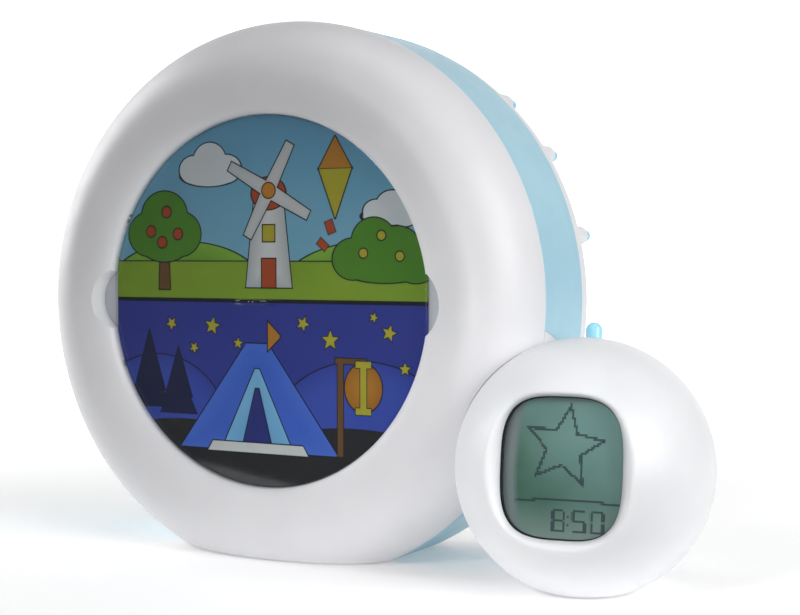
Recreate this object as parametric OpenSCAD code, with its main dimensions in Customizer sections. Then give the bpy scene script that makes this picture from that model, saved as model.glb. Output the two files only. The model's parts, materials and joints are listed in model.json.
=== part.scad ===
// Bedside alarm clock with a round picture night light and a ball-shaped clock that docks in its side.
// Row frame: +Z up, the picture faces -Y, the origin is at the middle of the base pad, on the table.
// Inside a module, "drum" and "ball" frames have x to the right, y down and z to the back.

/* [Case] */
// Radius of the round case at the front parting line
case_r = 100; // [96:0.5:104]
// How much larger the case is at the back of the coloured band
case_grow = 0.5; // [0:0.1:1]
// How far the flat base, pads included, cuts into the round case
base_cut = 8.9; // [7:0.1:11]
// Wall of all shells of the case
wall = 2.2; // [1.8:0.1:2.5]
// Depth of the front parting line behind the picture
bezel_depth = 16.6; // [14:0.1:19]
// Width of the coloured band
band_len = 32.4; // [30:0.1:36]
// Radius of the rounded back edge
back_round = 8; // [7:0.1:9]
// Straight part of the back cover before its rounded edge
cover_side = 4.1; // [3.5:0.1:6]
// Distance of the front ring's crest inside the case's radius
crest_in = 21.5; // [19:0.1:23]
// Height of the crest in front of the picture
crest_h = 7.1; // [6:0.1:9]
// Width of the slope from the crest down to the picture
slope_w = 12.8; // [12:0.1:15]
// Locating tongue between the shells
tongue_len = 3; // [2:0.1:4]

/* [Picture] */
// Thickness of the clear cover
cover_t = 1.6; // [1.2:0.1:1.8]
// Thickness of the printed sheet
sheet_t = 0.5; // [0.3:0.1:0.8]
// Gap round and behind the picture insert
insert_gap = 0.3; // [0.2:0.05:0.5]
// Width of the grip fin
fin_w = 15; // [12:0.5:20]
// Reach of the grip fin in front of the cover
fin_reach = 11; // [8:0.5:14]
// Thickness of the grip fin
fin_t = 2.2; // [1.5:0.1:3]
// Half height of a finger notch at the picture's edge
notch_half = 10.5; // [9:0.1:12]
// Depth of a finger notch beyond the picture opening
notch_depth = 5.5; // [4:0.1:6]
// Extra radius of a finger notch at the crest
notch_flare = 2; // [0:0.1:2.5]

/* [Light] */
// Thickness of the diffuser panel
diffuser_t = 2; // [1.5:0.1:2.5]
// How far the diffuser reaches past the picture opening
diffuser_lap = 9; // [8.5:0.1:10]
// Depth of the light box
box_depth = 30; // [26:0.5:31]
// Wall of the light box
box_wall = 1.6; // [1.2:0.1:2]
// Thickness of the divider between the day and the night chamber
divider_t = 1.6; // [1.2:0.1:2.4]
// Length of a light board
led_board_len = 84; // [60:1:100]
// Width of a light board
led_board_w = 14; // [10:0.5:18]
// Distance of a light board's middle from the divider
led_board_off = 30; // [24:0.5:36]
// Side of a light-emitting package
led_side = 5; // [3:0.1:6]

/* [Buttons] */
// Radius of a back button
button_r = 2.1; // [1.8:0.05:2.2]
// Distance of the back buttons' axes inside the case's radius
button_in = 3.4; // [3.2:0.1:3.8]
// Reach of the back buttons behind the back face
button_reach = 9.4; // [6:0.1:11]
// Travel of every button
travel = 1; // [0.6:0.1:1.2]
// Running clearance of a button in its hole
button_gap = 0.2; // [0.15:0.05:0.3]
// Height of a switch body
switch_h = 3.2; // [2.5:0.1:3.5]

/* [Sound and power] */
// Radius of the speaker
speaker_r = 27; // [22:0.5:28]
// Depth of the speaker
speaker_depth = 15; // [12:0.5:16]
// Radius of a battery cell of the case
cell_r = 7.1; // [6.9:0.1:7.3]
// Length of a battery cell of the case
cell_len = 50.5; // [49:0.1:51]

/* [Small clock] */
// Radius of the small clock
ball_r = 41.8; // [41:0.1:42.5]
// How deep the small clock sits in the side of the case
ball_bite = 25; // [24:0.1:27]
// Depth of the small clock's centre behind the picture
ball_depth = 8.4; // [6:0.1:11]
// How far the flat foot, pad included, cuts into the small clock
foot_cut = 2.5; // [2:0.1:3.2]
// Turn of the small clock's face to the right
ball_yaw = 7; // [0:1:14]
// Upward tilt of the small clock's face
ball_pitch = 7; // [0:1:10]
// Wall of the small clock's shells
ball_wall = 2; // [1.6:0.1:2.2]
// Depth of the seam behind the small clock's centre
seam_z = 2; // [0:0.1:4]
// Step of the rear shell below the front shell
seam_step = 0.5; // [0.3:0.1:0.8]
// Distance of the screen window's side inside the small clock's radius
window_side = 22.8; // [22.3:0.1:25]
// Distance of the screen window's top inside the small clock's radius
window_top = 20.1; // [19.6:0.1:23]
// Depth of the lens behind the front of the small clock
lens_depth = 10.8; // [10.3:0.1:11.8]
// Radius of the button on top of the small clock
top_button_r = 2.7; // [2.2:0.05:2.9]
// Reach of the top button above the shell
top_button_reach = 5.5; // [4:0.1:7]
// Radius of a battery cell of the small clock
small_cell_r = 5.2; // [5:0.05:5.3]
// Length of a battery cell of the small clock
small_cell_len = 44; // [42:0.1:44.5]

/* [Dock] */
// Clearance between the small clock and its cup
dock_gap = 0.4; // [0.3:0.05:0.8]
// Wall of the cup inside the case
cup_wall = 2.2; // [1.8:0.1:2.6]
// Width of the cup's rim
cup_rim = 4.8; // [4:0.1:6]

/* [Feet] */
// How far the pads stand out of the shells
pad_proud = 0.5; // [0.3:0.1:0.8]
// Depth of the pads' recesses
pad_recess = 0.7; // [0.5:0.1:1]
// Length of the base pad
pad_len = 70; // [60:1:74]
// Width of the base pad
pad_w = 24; // [16:1:26]
// Radius of the small clock's foot pad
foot_r = 10; // [8:0.1:11]

/* [Hidden] */
fine = 96;
dome_n = 32;
round_n = 32;
big = 300;
cut = 1; // overshoot of cutting tools
curve_n = 16; // segments of each profile curve
curve_k = 2 / 1.9; // exponent of the front ring's outer curve
gap = 0.15; // clearance between fixed pieces
shell_white = "#EDEDF0";
band_blue = "#A5CBDA";
clear_blue = "#A9DDF2";
board_green = "#2F6B4A";
dark_grey = "#33363A";
steel = "#B9BCC0";

// Case, in the drum frame
axis_h = case_r - base_cut;
crest_r = case_r - crest_in;
opening_r = crest_r - slope_w;
band_back = bezel_depth + band_len;
back_r = case_r + case_grow;
cover_r = back_r - 0.4;
round_z = band_back + cover_side;
back_z = round_z + back_round;
back_in = back_z - wall;
mid_y = bezel_depth + band_len / 2;
base_drop = axis_h - pad_proud;
cover_front = -cover_t;
lip_front = cover_front - 0.4;
diffuser_front = sheet_t + insert_gap;
diffuser_back = diffuser_front + diffuser_t;
diffuser_r = opening_r + diffuser_lap;
tongue_r = case_r - wall - 0.5;
tongue_in = tongue_r - 1.7;
tongue_root = 2;
rib_t = 2;
box_r = diffuser_r + box_wall;
box_back = diffuser_back + box_depth;
flat_x = opening_r - 1.2;
notch_chord = sqrt(pow(opening_r, 2) - pow(notch_half, 2));
notch_sag = opening_r + notch_depth - notch_chord;
notch_r = (pow(notch_sag, 2) + pow(notch_half, 2)) / (2 * notch_sag);
notch_x = opening_r + notch_depth - notch_r;
notch_slope = notch_flare / crest_h;

// Screws and bosses of the case
screw_r = 1.5;
screw_head_r = 2.8;
screw_head_h = 2;
screw_fit = 0.05;
screw_well = 6;
boss_r = 4;
boss_in = 13.5;
boss_ring = case_r - boss_in;
boss_angles = [-75, -135, 165, 118, 62, -1];
boss_split = band_back - 8;
boss_pilot = 10;
bezel_boss_in = 11;
bezel_boss_ring = case_r - bezel_boss_in;
short_screw = 9;
boss_bite = 8;
bezel_boss_angles = [-100, -160, 145, 112, 52, -50];
bezel_tab = 2.4;
ear_angles = [-45, -115, 155, 85];
ear_ring = box_r + 3;
ear_t = 3;

// Boards and batteries of the case
board_t = 1.6;
standoff_h = 4;
main_board_size = [2 * box_r - 64.6, 46];
main_board_pos = [0, 36.3 - box_r];
main_board_z = box_back + standoff_h;
board_hole_inset = 4;
chip_pos = [[26 - main_board_size[0] / 2, 4], [4, -8]];
chip_size = [[12, 12], [9, 6]];
chip_h = 1.6;
capacitor_pos = [[main_board_size[0] / 2 - 24, 6], [main_board_size[0] / 2 - 12, 6]];
capacitor_r = 4;
capacitor_h = 9;
led_h = 1.5;
speaker_pos = [-38, 28];
cell_gap = 0.3;
cell_pitch = 2 * cell_r + cell_gap;
cell_count = 3;
contact_room = 3.6;
tub_wall = 1.5;
tub_in = [cell_len + contact_room, cell_count * cell_pitch + cell_gap];
tub_pos = [28, 30];
tub_depth = 2 * cell_r + 1.2;
door_gap = 0.3;
plate_t = 0.4;
spring_wire = 0.45;
spring_r = 4.4;
door_screw_pos = [tub_pos[0], tub_pos[1] - tub_in[1] / 2 - 5];
tab_t = 1.2;
lip_boss_r = 3;
lip_boss_h = 6;
speaker_hole_r = 1.3;
basket_bore = 8;
basket_neck = 12;
magnet_r = 13;
magnet_t = 5;
speaker_pitch = 6;
jack_rise = 16.6;
jack_pos = [-4, base_drop - jack_rise];
jack_size = [9, 11, 12];
jack_hole_r = 3.2;

// Back buttons
button_angles = [-48, -33, -14];
button_ring = case_r - button_in;
stem_in = 1.7;
stem_ring = button_ring - stem_in;
stem_r = 1.7;
collar_r = button_r + 1.2;
collar_out = 2;
switch_side = 4.5;
plunger_r = 1.1;
plunger_h = 0.7;
switch_rest = travel + 0.3;
pin_front = back_z - 3.4;
button_board_rise = 11;
button_board_z = box_back + button_board_rise;
button_board_face = button_board_z + board_t;
stem_front = button_board_face + switch_h + plunger_h + switch_rest;
button_board_in = 12;
post_angles = [-40.5, -23.5];
post_in = 6.2;
post_ring = button_ring - post_in;
post_screw = 8;
post_r = 2.6;

// Small clock
ball_x = case_r + ball_r - ball_bite;
ball_h = ball_r - foot_cut;
window_x = ball_r - window_side;
window_y = ball_r - window_top;
lens_z = ball_r - lens_depth;
ball_y = ball_depth - mid_y;
ball_centre = [ball_x, ball_y, ball_h];
ball_back_r = ball_r - seam_step;
lens_t = 1.2;
lens_lap = 1.6;
gasket_t = 1;
lcd_t = 2;
lcd_z = -lens_z + lens_t + gasket_t;
gasket_in = 1.4;
window_n = 48;
window_k = 2 / 3.3;
backlight_t = 2.5;
clock_board_z = -lens_z + lens_t + gasket_t + lcd_t + backlight_t;
clock_board_r = ball_r - 12.8;
board_post_x = clock_board_r - 5;
board_post_r = 2.5;
lcd_size = [2 * window_x - 2, 2 * window_y - 1.8];
switch_board_z = 15;
switch_board_size = [2 * ball_r - 43.6, 15];
switch_board_y = 21.3 - ball_r;
switch_post_x = switch_board_size[0] / 2 - 3;
switch_post_r = 2.2;
set_button_r = 2.5;
set_button_x = switch_post_x - 7;
set_button_out = 1.6;
set_button_front = switch_board_z + board_t + switch_h + plunger_h + switch_rest;
clock_boss_r = 3.2;
clock_boss_ring = ball_r - 9.3;
clock_boss_angles = [-150, -30, 58, 122];
clock_screw_r = 1.2;
clock_screw_head_r = 2.2;
clock_screw_depth = 8;
clock_head_z = seam_z + 8;
tray_front = 13;
tray_wall = 1.2;
tray_y = 7.5;
small_cell_pitch = 2 * small_cell_r + cell_gap;
tray_in = [small_cell_len + 1.6, 2 * small_cell_pitch + cell_gap];
top_button_z = 7;
top_switch_y = switch_board_y - switch_board_size[1] / 2;
top_switch_size = [6, 3.2, 10];
clock_tongue = 2;
contact_angles = [-6, -20];
contact_r = 1.5;
contact_tilt = 26;
contact_pad_r = 2;

module drum() {
  translate([0, -mid_y, axis_h]) rotate([-90, 0, 0]) children();
}

module ball() {
  translate(ball_centre) rotate([-ball_pitch, 0, ball_yaw]) rotate([-90, 0, 0]) children();
}

// Keeps what lies above a height over the table
module above(height) {
  intersection() {
    union() children();
    translate([-big, -big, height]) cube(2 * big);
  }
}

// Keeps what lies above a drop below the case's axis, in the drum frame
module over_base(drop) {
  intersection() {
    union() children();
    translate([-big, drop - 2 * big, -big]) cube(2 * big);
  }
}

module turn(points) {
  rotate_extrude($fn = fine) polygon(points);
}

module ring(r_out, r_in, z0, z1) {
  turn([[r_in, z0], [r_out, z0], [r_out, z1], [r_in, z1]]);
}

module polar(r, angle) {
  rotate([0, 0, angle]) translate([r, 0, 0]) children();
}

module rod(r, z0, z1) {
  translate([0, 0, z0]) cylinder(h = z1 - z0, r = r, $fn = round_n);
}

module disc(r, z0, z1) {
  translate([0, 0, z0]) cylinder(h = z1 - z0, r = r, $fn = fine);
}

// A rectangular block centred on x and y, from z0 to z1
module block(size, z0, z1) {
  translate([-size[0] / 2, -size[1] / 2, z0]) cube([size[0], size[1], z1 - z0]);
}

// A screw whose head starts at z = 0 and whose shank runs towards -z
module screw(shank_r, head_r, length) {
  rod(head_r, 0, screw_head_h);
  rod(shank_r - screw_fit, -length, 0.1);
}

module ball_cut(r) {
  translate(ball_centre) sphere(r, $fn = fine);
}

// Outer curve of the front ring, inset by w
function outer_curve(w) = [
  for (i = [0:curve_n]) let (t = 90 * i / curve_n)
    [crest_r + (case_r - w - crest_r) * pow(cos(t), curve_k),
     bezel_depth - (bezel_depth + crest_h - w) * pow(sin(t), curve_k)]
];

// Slope from the crest down to the picture, inset by w
function inner_slope(w) = [
  for (i = [1:curve_n]) let (t = 90 * i / curve_n)
    [crest_r - (crest_r - opening_r - w) * sin(t), lip_front - (crest_h - w + lip_front) * cos(t)]
];

// Rounded back edge of the cover, inset by w
function back_curve(w) = [
  for (i = [0:curve_n]) let (t = 90 * i / curve_n)
    [cover_r - back_round + (back_round - w) * cos(t), round_z + (back_round - w) * sin(t)]
];

module bezel_solid() {
  turn(concat(outer_curve(0), inner_slope(0), [[opening_r, bezel_depth]]));
}

module bezel_room() {
  turn(concat([[case_r - wall, bezel_depth + cut]], outer_curve(wall), inner_slope(wall),
    [[opening_r + wall, diffuser_front], [0, diffuser_front], [0, bezel_depth + cut]]));
}

// Both finger notches as solids, grown by a margin
module notches(grow) {
  for (side = [-1, 1]) translate([side * notch_x, 0, 0]) {
    disc(notch_r + grow, 0, diffuser_front + cut);
    translate([0, 0, -2 * crest_h])
      cylinder(h = 2 * crest_h, r1 = notch_r + grow + 2 * crest_h * notch_slope, r2 = notch_r + grow,
        $fn = fine);
  }
}

module front_bezel() {
  color(shell_white) difference() {
    drum() difference() {
      over_base(base_drop) {
        difference() {
          bezel_solid();
          over_base(base_drop - wall) bezel_room();
        }
        intersection() {
          bezel_solid();
          union() {
            intersection() {
              notches(wall);
              block([2 * diffuser_r, 2 * notch_r + 2 * wall], -2 * crest_h, diffuser_front);
            }
            for (a = bezel_boss_angles) polar(bezel_boss_ring, a) rod(boss_r, 0, bezel_depth);
            for (a = ear_angles) polar(ear_ring, a) rod(boss_r, -crest_h, bezel_depth);
          }
        }
        for (a = ear_angles) polar(ear_ring, a) rod(boss_r, bezel_depth - cut, box_back - ear_t);
      }
      notches(0);
      disc(box_r + gap, diffuser_front, box_back);
      for (a = bezel_boss_angles) polar(bezel_boss_ring, a) rod(screw_r, 4, bezel_depth + cut);
      for (a = ear_angles) polar(ear_ring, a) rod(screw_r, box_back - ear_t - 8, box_back);
    }
    ball_cut(ball_r + dock_gap);
  }
}

module body_band() {
  color(band_blue) difference() {
    drum() difference() {
      union() {
        difference() {
          over_base(base_drop)
            turn([[0, bezel_depth], [case_r, bezel_depth], [back_r, band_back], [0, band_back]]);
          over_base(base_drop - wall)
            turn([[0, bezel_depth - cut], [case_r - wall, bezel_depth - cut],
              [back_r - wall, band_back + cut], [0, band_back + cut]]);
        }
        over_base(base_drop - wall - gap) {
          ring(tongue_r, tongue_in, bezel_depth - tongue_len, bezel_depth + tongue_root);
          ring(case_r - wall / 2, tongue_in, bezel_depth, bezel_depth + tongue_root);
        }
        over_base(base_drop) intersection() {
          disc(case_r - wall / 2, 0, band_back);
          union() {
            for (a = boss_angles) polar(boss_ring, a) {
              rod(boss_r, boss_split - boss_pilot - boss_r, boss_split);
              translate([0, -rib_t / 2, boss_split - boss_pilot - boss_r])
                cube([big, rib_t, boss_pilot + boss_r]);
            }
            for (a = bezel_boss_angles) polar(bezel_boss_ring, a)
              translate([-boss_r, -boss_r, bezel_depth + gap]) cube([big, 2 * boss_r, bezel_tab - gap]);
          }
        }
      }
      for (a = boss_angles) polar(boss_ring, a) rod(screw_r, boss_split - boss_pilot, boss_split + cut);
      for (a = bezel_boss_angles)
        polar(bezel_boss_ring, a) rod(screw_r + gap, bezel_depth - cut, bezel_depth + bezel_tab + cut);
    }
    ball_cut(ball_r + dock_gap + cup_rim + gap);
    translate([0, 0, pad_proud]) rounded_plate(pad_len + 2 * gap, pad_w + 2 * gap, -cut, pad_recess);
  }
}

module rear_cover() {
  color(shell_white) drum() difference() {
    union() {
      difference() {
        over_base(base_drop)
          turn(concat([[0, band_back], [cover_r, band_back]], back_curve(0), [[0, back_z]]));
        over_base(base_drop - wall)
          turn(concat([[0, band_back - cut], [cover_r - wall, band_back - cut]], back_curve(wall),
            [[0, back_in]]));
      }
      over_base(base_drop - wall - gap) difference() {
        union() {
          ring(tongue_r, tongue_in, band_back - tongue_len, band_back + tongue_root);
          ring(cover_r - wall / 2, tongue_in, band_back, band_back + tongue_root);
        }
        button_sector(8, band_back - big, band_back + tongue_root + cut);
      }
      for (a = boss_angles) polar(boss_ring, a) rod(boss_r, boss_split, back_in + 0.1);
      for (a = button_angles) polar(button_ring, a) rod(collar_r, round_z, back_z + collar_out);
      for (a = post_angles) polar(post_ring, a) rod(post_r, button_board_face, back_in + 0.1);
      translate(door_screw_pos) rod(lip_boss_r, back_in - lip_boss_h, back_in + 0.1);
    }
    for (a = boss_angles) polar(boss_ring, a) {
      rod(screw_r + gap, boss_split - cut, back_z);
      rod(screw_head_r + gap, back_z - screw_well, back_z + cut);
    }
    for (a = button_angles) {
      polar(button_ring, a) rod(button_r + button_gap, pin_front - travel - 0.3, back_z + big);
      polar(stem_ring, a) rod(stem_r + button_gap, button_board_z, back_z);
    }
    for (a = post_angles) polar(post_ring, a) rod(screw_r, button_board_face - cut, back_in - 2);
    translate(speaker_pos) speaker_holes();
    translate(tub_pos) block(tub_in, back_in - cut, back_z + cut);
    door_tab(door_gap, back_z - tab_t - 0.1, back_z + cut);
    translate(jack_pos) rod(jack_hole_r, back_in - cut, back_z + cut);
    translate(door_screw_pos) rod(screw_r, back_in - lip_boss_h - cut, back_z);
  }
}

// Tab of the battery door that its screw holds, sunk in the back face
module door_tab(grow, z0, z1) {
  translate([door_screw_pos[0], door_screw_pos[1] + 1.5])
    block([12 + 2 * grow, 11 + 2 * grow], z0, z1);
}

module speaker_holes() {
  rod(speaker_hole_r, back_in - cut, back_z + cut);
  for (n = [1:3], i = [0:6 * n - 1])
    polar(speaker_pitch * n, 60 * i / n) rod(speaker_hole_r, back_in - cut, back_z + cut);
}

// Everything inside the outer surface of the ring and the band, inset by w
module case_envelope(w) {
  over_base(base_drop - w)
    turn(concat([[0, band_back], [back_r - w, band_back]], outer_curve(w), [[crest_r, 0], [0, 0]]));
}

module dock_cup() {
  color(shell_white) difference() {
    intersection() {
      drum() case_envelope(0);
      union() {
        ball_cut(ball_r + dock_gap + cup_wall);
        difference() {
          ball_cut(ball_r + dock_gap + cup_rim);
          drum() case_envelope(wall);
        }
      }
    }
    ball_cut(ball_r + dock_gap);
    drum() difference() {
      disc(case_r + cut, -crest_h - cut, bezel_depth + gap);
      case_envelope(wall + gap);
    }
    contact_rays() rod(contact_r + gap, ball_r - 2, ball_r + dock_gap + cup_rim);
  }
}

// Rays from the small clock's centre into the case, along which the dock's contacts lie
module contact_rays() {
  for (a = contact_angles)
    translate(ball_centre) rotate([0, 0, 180 + a]) rotate([0, 90 - contact_tilt, 0]) children();
}

module dock_contacts() {
  color("gold") contact_rays() {
    rod(contact_r, ball_r + dock_gap + 0.1, ball_r + dock_gap + cup_rim);
    rod(contact_r + 0.8, ball_r + dock_gap + cup_wall, ball_r + dock_gap + cup_wall + 1.2);
  }
}

// A plate with rounded corners, centred on x and y
module rounded_plate(length, width, z0, z1) {
  corner = 5;
  block([length - 2 * corner, width], z0, z1);
  block([length, width - 2 * corner], z0, z1);
  for (s = [-1, 1], u = [-1, 1])
    translate([s * (length / 2 - corner), u * (width / 2 - corner), 0]) rod(corner, z0, z1);
}

module base_pad() {
  color(dark_grey) rounded_plate(pad_len, pad_w, 0, pad_proud + pad_recess);
}

module insert_outline() {
  intersection() {
    circle(opening_r - insert_gap, $fn = fine);
    square([2 * flat_x, 2 * opening_r], center = true);
  }
}

// Plan of the grip fin: a straight root and a round nose towards -y
module fin_outline() {
  intersection() {
    translate([-fin_w / 2, -fin_reach]) square([fin_w, fin_reach + 0.2]);
    union() {
      translate([0, fin_w / 2 - fin_reach]) circle(fin_w / 2, $fn = fine);
      translate([-fin_w / 2, fin_w / 2 - fin_reach]) square([fin_w, fin_reach]);
    }
  }
}

module picture_cover() {
  color([0.9, 0.95, 1, 0.4]) drum() {
    translate([0, 0, cover_front]) linear_extrude(cover_t) insert_outline();
    translate([0, fin_t / 2, cover_front]) rotate([90, 0, 0]) linear_extrude(fin_t) fin_outline();
  }
}

module picture_sheet() {
  color("#5E97B0") drum() linear_extrude(sheet_t) insert_outline();
}

module diffuser_panel() {
  color("#C9CDD0") drum() disc(diffuser_r, diffuser_front, diffuser_back);
}

function main_board_holes() = [
  for (s = [-1, 1], u = [-1, 1])
    [main_board_pos[0] + s * (main_board_size[0] / 2 - board_hole_inset),
     main_board_pos[1] + u * (main_board_size[1] / 2 - board_hole_inset)]
];

module light_box() {
  color("white") drum() difference() {
    union() {
      ring(box_r, diffuser_r - 1.5, diffuser_back, box_back);
      ring(box_r, diffuser_r + gap, diffuser_front + 0.4, diffuser_back + 0.1);
      disc(diffuser_r, box_back - box_wall, box_back);
      for (a = ear_angles)
        polar(ear_ring, a) rotate([0, 0, 90]) rod(boss_r, box_back - ear_t, box_back);
      for (p = main_board_holes()) translate(p) rod(boss_r - 1, box_back - 0.1, main_board_z);
    }
    for (a = ear_angles) polar(ear_ring, a) rod(screw_r + gap, box_back - ear_t - cut, box_back + cut);
    for (p = main_board_holes()) translate(p) rod(screw_r, box_back, main_board_z + cut);
  }
}

module light_divider() {
  color("white") drum()
    block([2 * diffuser_r - 4, divider_t], diffuser_back + gap, box_back - box_wall);
}

// The board of one chamber: side is -1 for day, above, and 1 for night, below
module light_board(side) {
  color("white") drum() translate([0, side * led_board_off, 0])
    block([led_board_len, led_board_w], box_back - box_wall - board_t, box_back - box_wall);
}

module leds(side) {
  color("lightyellow") drum() for (i = [-1:1])
    translate([i * led_board_len / 3, side * led_board_off, 0])
      block([led_side, led_side], box_back - box_wall - board_t - led_h, box_back - box_wall - board_t);
}

module day_light_board() {
  light_board(-1);
}

module night_light_board() {
  light_board(1);
}

module day_leds() {
  leds(-1);
}

module night_leds() {
  leds(1);
}

module main_board() {
  color(board_green) drum() difference() {
    translate(main_board_pos) block(main_board_size, main_board_z, main_board_z + board_t);
    for (p = main_board_holes()) translate(p) rod(screw_r + gap, main_board_z - cut, back_in);
  }
}

module board_chips() {
  color(dark_grey) drum() translate([main_board_pos[0], main_board_pos[1], main_board_z + board_t]) {
    for (i = [0:len(chip_pos) - 1]) translate(chip_pos[i]) block(chip_size[i], 0, chip_h);
    for (p = capacitor_pos) translate(p) rod(capacitor_r, 0, capacitor_h);
  }
}

module speaker_basket() {
  color(steel) drum() translate([speaker_pos[0], speaker_pos[1], back_in - speaker_depth])
    turn([[basket_bore, 0], [basket_neck, 0], [speaker_r - 3, speaker_depth - 3],
      [speaker_r, speaker_depth - 3], [speaker_r, speaker_depth], [speaker_r - 4, speaker_depth],
      [speaker_r - 4, speaker_depth - 1.5], [basket_neck - 1, 1.5], [basket_bore, 1.5]]);
}

module speaker_magnet() {
  color(dark_grey) drum() translate(speaker_pos)
    rod(magnet_r, back_in - speaker_depth - magnet_t, back_in - speaker_depth);
}

module speaker_cone() {
  color("#5A5C5F") drum() translate([speaker_pos[0], speaker_pos[1], back_in - speaker_depth])
    turn([[0, 3.4], [7, 3.4], [speaker_r - 7, speaker_depth - 1.2], [speaker_r - 4.2, speaker_depth - 1.2],
      [speaker_r - 4.2, speaker_depth - 0.4], [speaker_r - 7.4, speaker_depth - 0.4], [6.6, 4.2], [0, 4.2]]);
}

module battery_box() {
  color("white") drum() translate(tub_pos) difference() {
    block([tub_in[0] + 2 * tub_wall, tub_in[1] + 2 * tub_wall], back_in - tub_depth - tub_wall, back_in);
    block(tub_in, back_in - tub_depth, back_in + cut);
  }
}

// Turns what is drawn along z into the axis of cell i, every second one the other way round
module cell_axis(i) {
  translate([tub_pos[0], tub_pos[1] + (i - (cell_count - 1) / 2) * cell_pitch,
    back_in - tub_depth + cell_r + 0.2]) rotate([0, i % 2 == 0 ? 90 : -90, 0]) children();
}

// One cell with its nub at the positive end
module cell(r, nub_r, length, end) {
  rod(r, end - length, end - 1);
  rod(nub_r, end - 1.1, end);
}

module batteries() {
  color("#3C6FA8") drum() for (i = [0:cell_count - 1])
    cell_axis(i) cell(cell_r, 2.7, cell_len, tub_in[0] / 2 - plate_t - 0.2);
}

module battery_springs() {
  color(steel) drum() for (i = [0:cell_count - 1])
    cell_axis(i) for (k = [0:2])
      translate([0, 0, spring_wire + 1.7 * spring_wire * k - tub_in[0] / 2 + plate_t])
        rotate_extrude($fn = round_n) translate([spring_r - 0.2 * k, 0]) circle(spring_wire, $fn = 16);
}

module battery_contacts() {
  color(steel) drum() for (i = [0:cell_count - 1], s = [-1, 1])
    translate([tub_pos[0] + s * (tub_in[0] - plate_t) / 2,
      tub_pos[1] + (i - (cell_count - 1) / 2) * cell_pitch, 0])
      block([plate_t, 10], back_in - tub_depth, back_in - 3);
}

module battery_door() {
  color(shell_white) drum() difference() {
    union() {
      translate(tub_pos) block([tub_in[0] - 2 * door_gap, tub_in[1] - 2 * door_gap], back_in, back_z);
      door_tab(0, back_z - tab_t, back_z);
    }
    translate(door_screw_pos) rod(screw_r, back_in, back_z + cut);
  }
}

module battery_door_screw() {
  color(steel) drum() translate(door_screw_pos) {
    rod(screw_head_r, back_z, back_z + 1);
    rod(screw_r - door_gap, back_z - 6, back_z + 0.1);
  }
}

// The part of a ring that lies round the back buttons, widened by a margin in degrees
module button_sector(margin, z0, z1) {
  first = min(button_angles) - margin;
  last = max(button_angles) + margin;
  intersection() {
    rotate([0, 0, first]) translate([0, 0, z0]) cube([big, big, z1 - z0]);
    rotate([0, 0, last - 90]) translate([0, 0, z0]) cube([big, big, z1 - z0]);
  }
}

module button_board() {
  color(board_green) drum() difference() {
    intersection() {
      ring(button_ring + 0.6, button_ring - button_board_in, button_board_z, button_board_face);
      button_sector(4, 0, back_z);
    }
    for (a = post_angles) polar(post_ring, a) rod(screw_r + gap, button_board_z - cut, back_z);
  }
}

module button_switches() {
  color(dark_grey) drum() for (a = button_angles) polar(stem_ring, a) key_switch(button_board_face);
}

// A push switch standing on z
module key_switch(z) {
  block([switch_side, switch_side], z, z + switch_h);
  rod(plunger_r, z + switch_h - 0.1, z + switch_h + plunger_h);
}

module back_button(angle) {
  tip = back_z + button_reach;
  color(clear_blue) drum() {
    polar(button_ring, angle) {
      rod(button_r, pin_front, tip - button_r);
      translate([0, 0, tip - button_r]) sphere(button_r, $fn = round_n);
    }
    polar(stem_ring, angle) rod(stem_r, stem_front, back_z - 1.5);
  }
}

module upper_button() {
  back_button(button_angles[0]);
}

module middle_button() {
  back_button(button_angles[1]);
}

module lower_button() {
  back_button(button_angles[2]);
}

module power_jack() {
  color(dark_grey) drum() translate(jack_pos) {
    difference() {
      block([jack_size[0], jack_size[1]], back_in - jack_size[2], back_in);
      rod(2.75, back_in - jack_size[2] + 2, back_in + cut);
    }
    rod(0.8, back_in - jack_size[2] + 1, back_in - 1);
  }
}

module bezel_screws() {
  color(steel) drum() for (a = bezel_boss_angles)
    polar(bezel_boss_ring, a) translate([0, 0, bezel_depth + bezel_tab])
      screw(screw_r, screw_head_r, short_screw);
}

module rear_screws() {
  color(steel) drum() for (a = boss_angles)
    polar(boss_ring, a) translate([0, 0, back_z - screw_well])
      screw(screw_r, screw_head_r, back_z - screw_well - boss_split + boss_bite);
}

module light_box_screws() {
  color(steel) drum() for (a = ear_angles)
    polar(ear_ring, a) translate([0, 0, box_back]) screw(screw_r, screw_head_r, short_screw);
}

module board_screws() {
  color(steel) drum() {
    for (p = main_board_holes()) translate([p[0], p[1], main_board_z + board_t])
      screw(screw_r, screw_head_r, board_t + standoff_h - 0.5);
    for (a = post_angles) polar(post_ring, a) translate([0, 0, button_board_z]) mirror([0, 0, 1])
      screw(screw_r, screw_head_r, post_screw);
  }
}

// Superellipse of the window
function window_points(x, y) = [
  for (i = [0:window_n - 1]) let (t = 360 * i / window_n, c = cos(t), s = sin(t))
    [x * sign(c) * pow(abs(c), window_k), y * sign(s) * pow(abs(s), window_k)]
];

// A plate with the window's outline, grown by a margin
module window_plate(grow, z0, z1) {
  translate([0, 0, z0]) linear_extrude(z1 - z0) polygon(window_points(window_x + grow, window_y + grow));
}

// The seats and bosses that stay solid inside the front shell
module front_inside() {
  window_plate(lens_lap + ball_wall, -ball_r, -lens_z + lens_t);
  for (a = clock_boss_angles) polar(clock_boss_ring, a) rod(clock_boss_r, -ball_r, seam_z);
  for (s = [-1, 1]) translate([s * board_post_x, 0, 0]) rod(board_post_r, -ball_r, clock_board_z);
}

// Front part of a ball up to z_end, turned about the window's axis
module front_dome(r, z_end) {
  sweep = acos(-z_end / r);
  turn(concat([for (i = [0:dome_n]) r * [sin(sweep * i / dome_n), -cos(sweep * i / dome_n)]], [[0, z_end]]));
}

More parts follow.
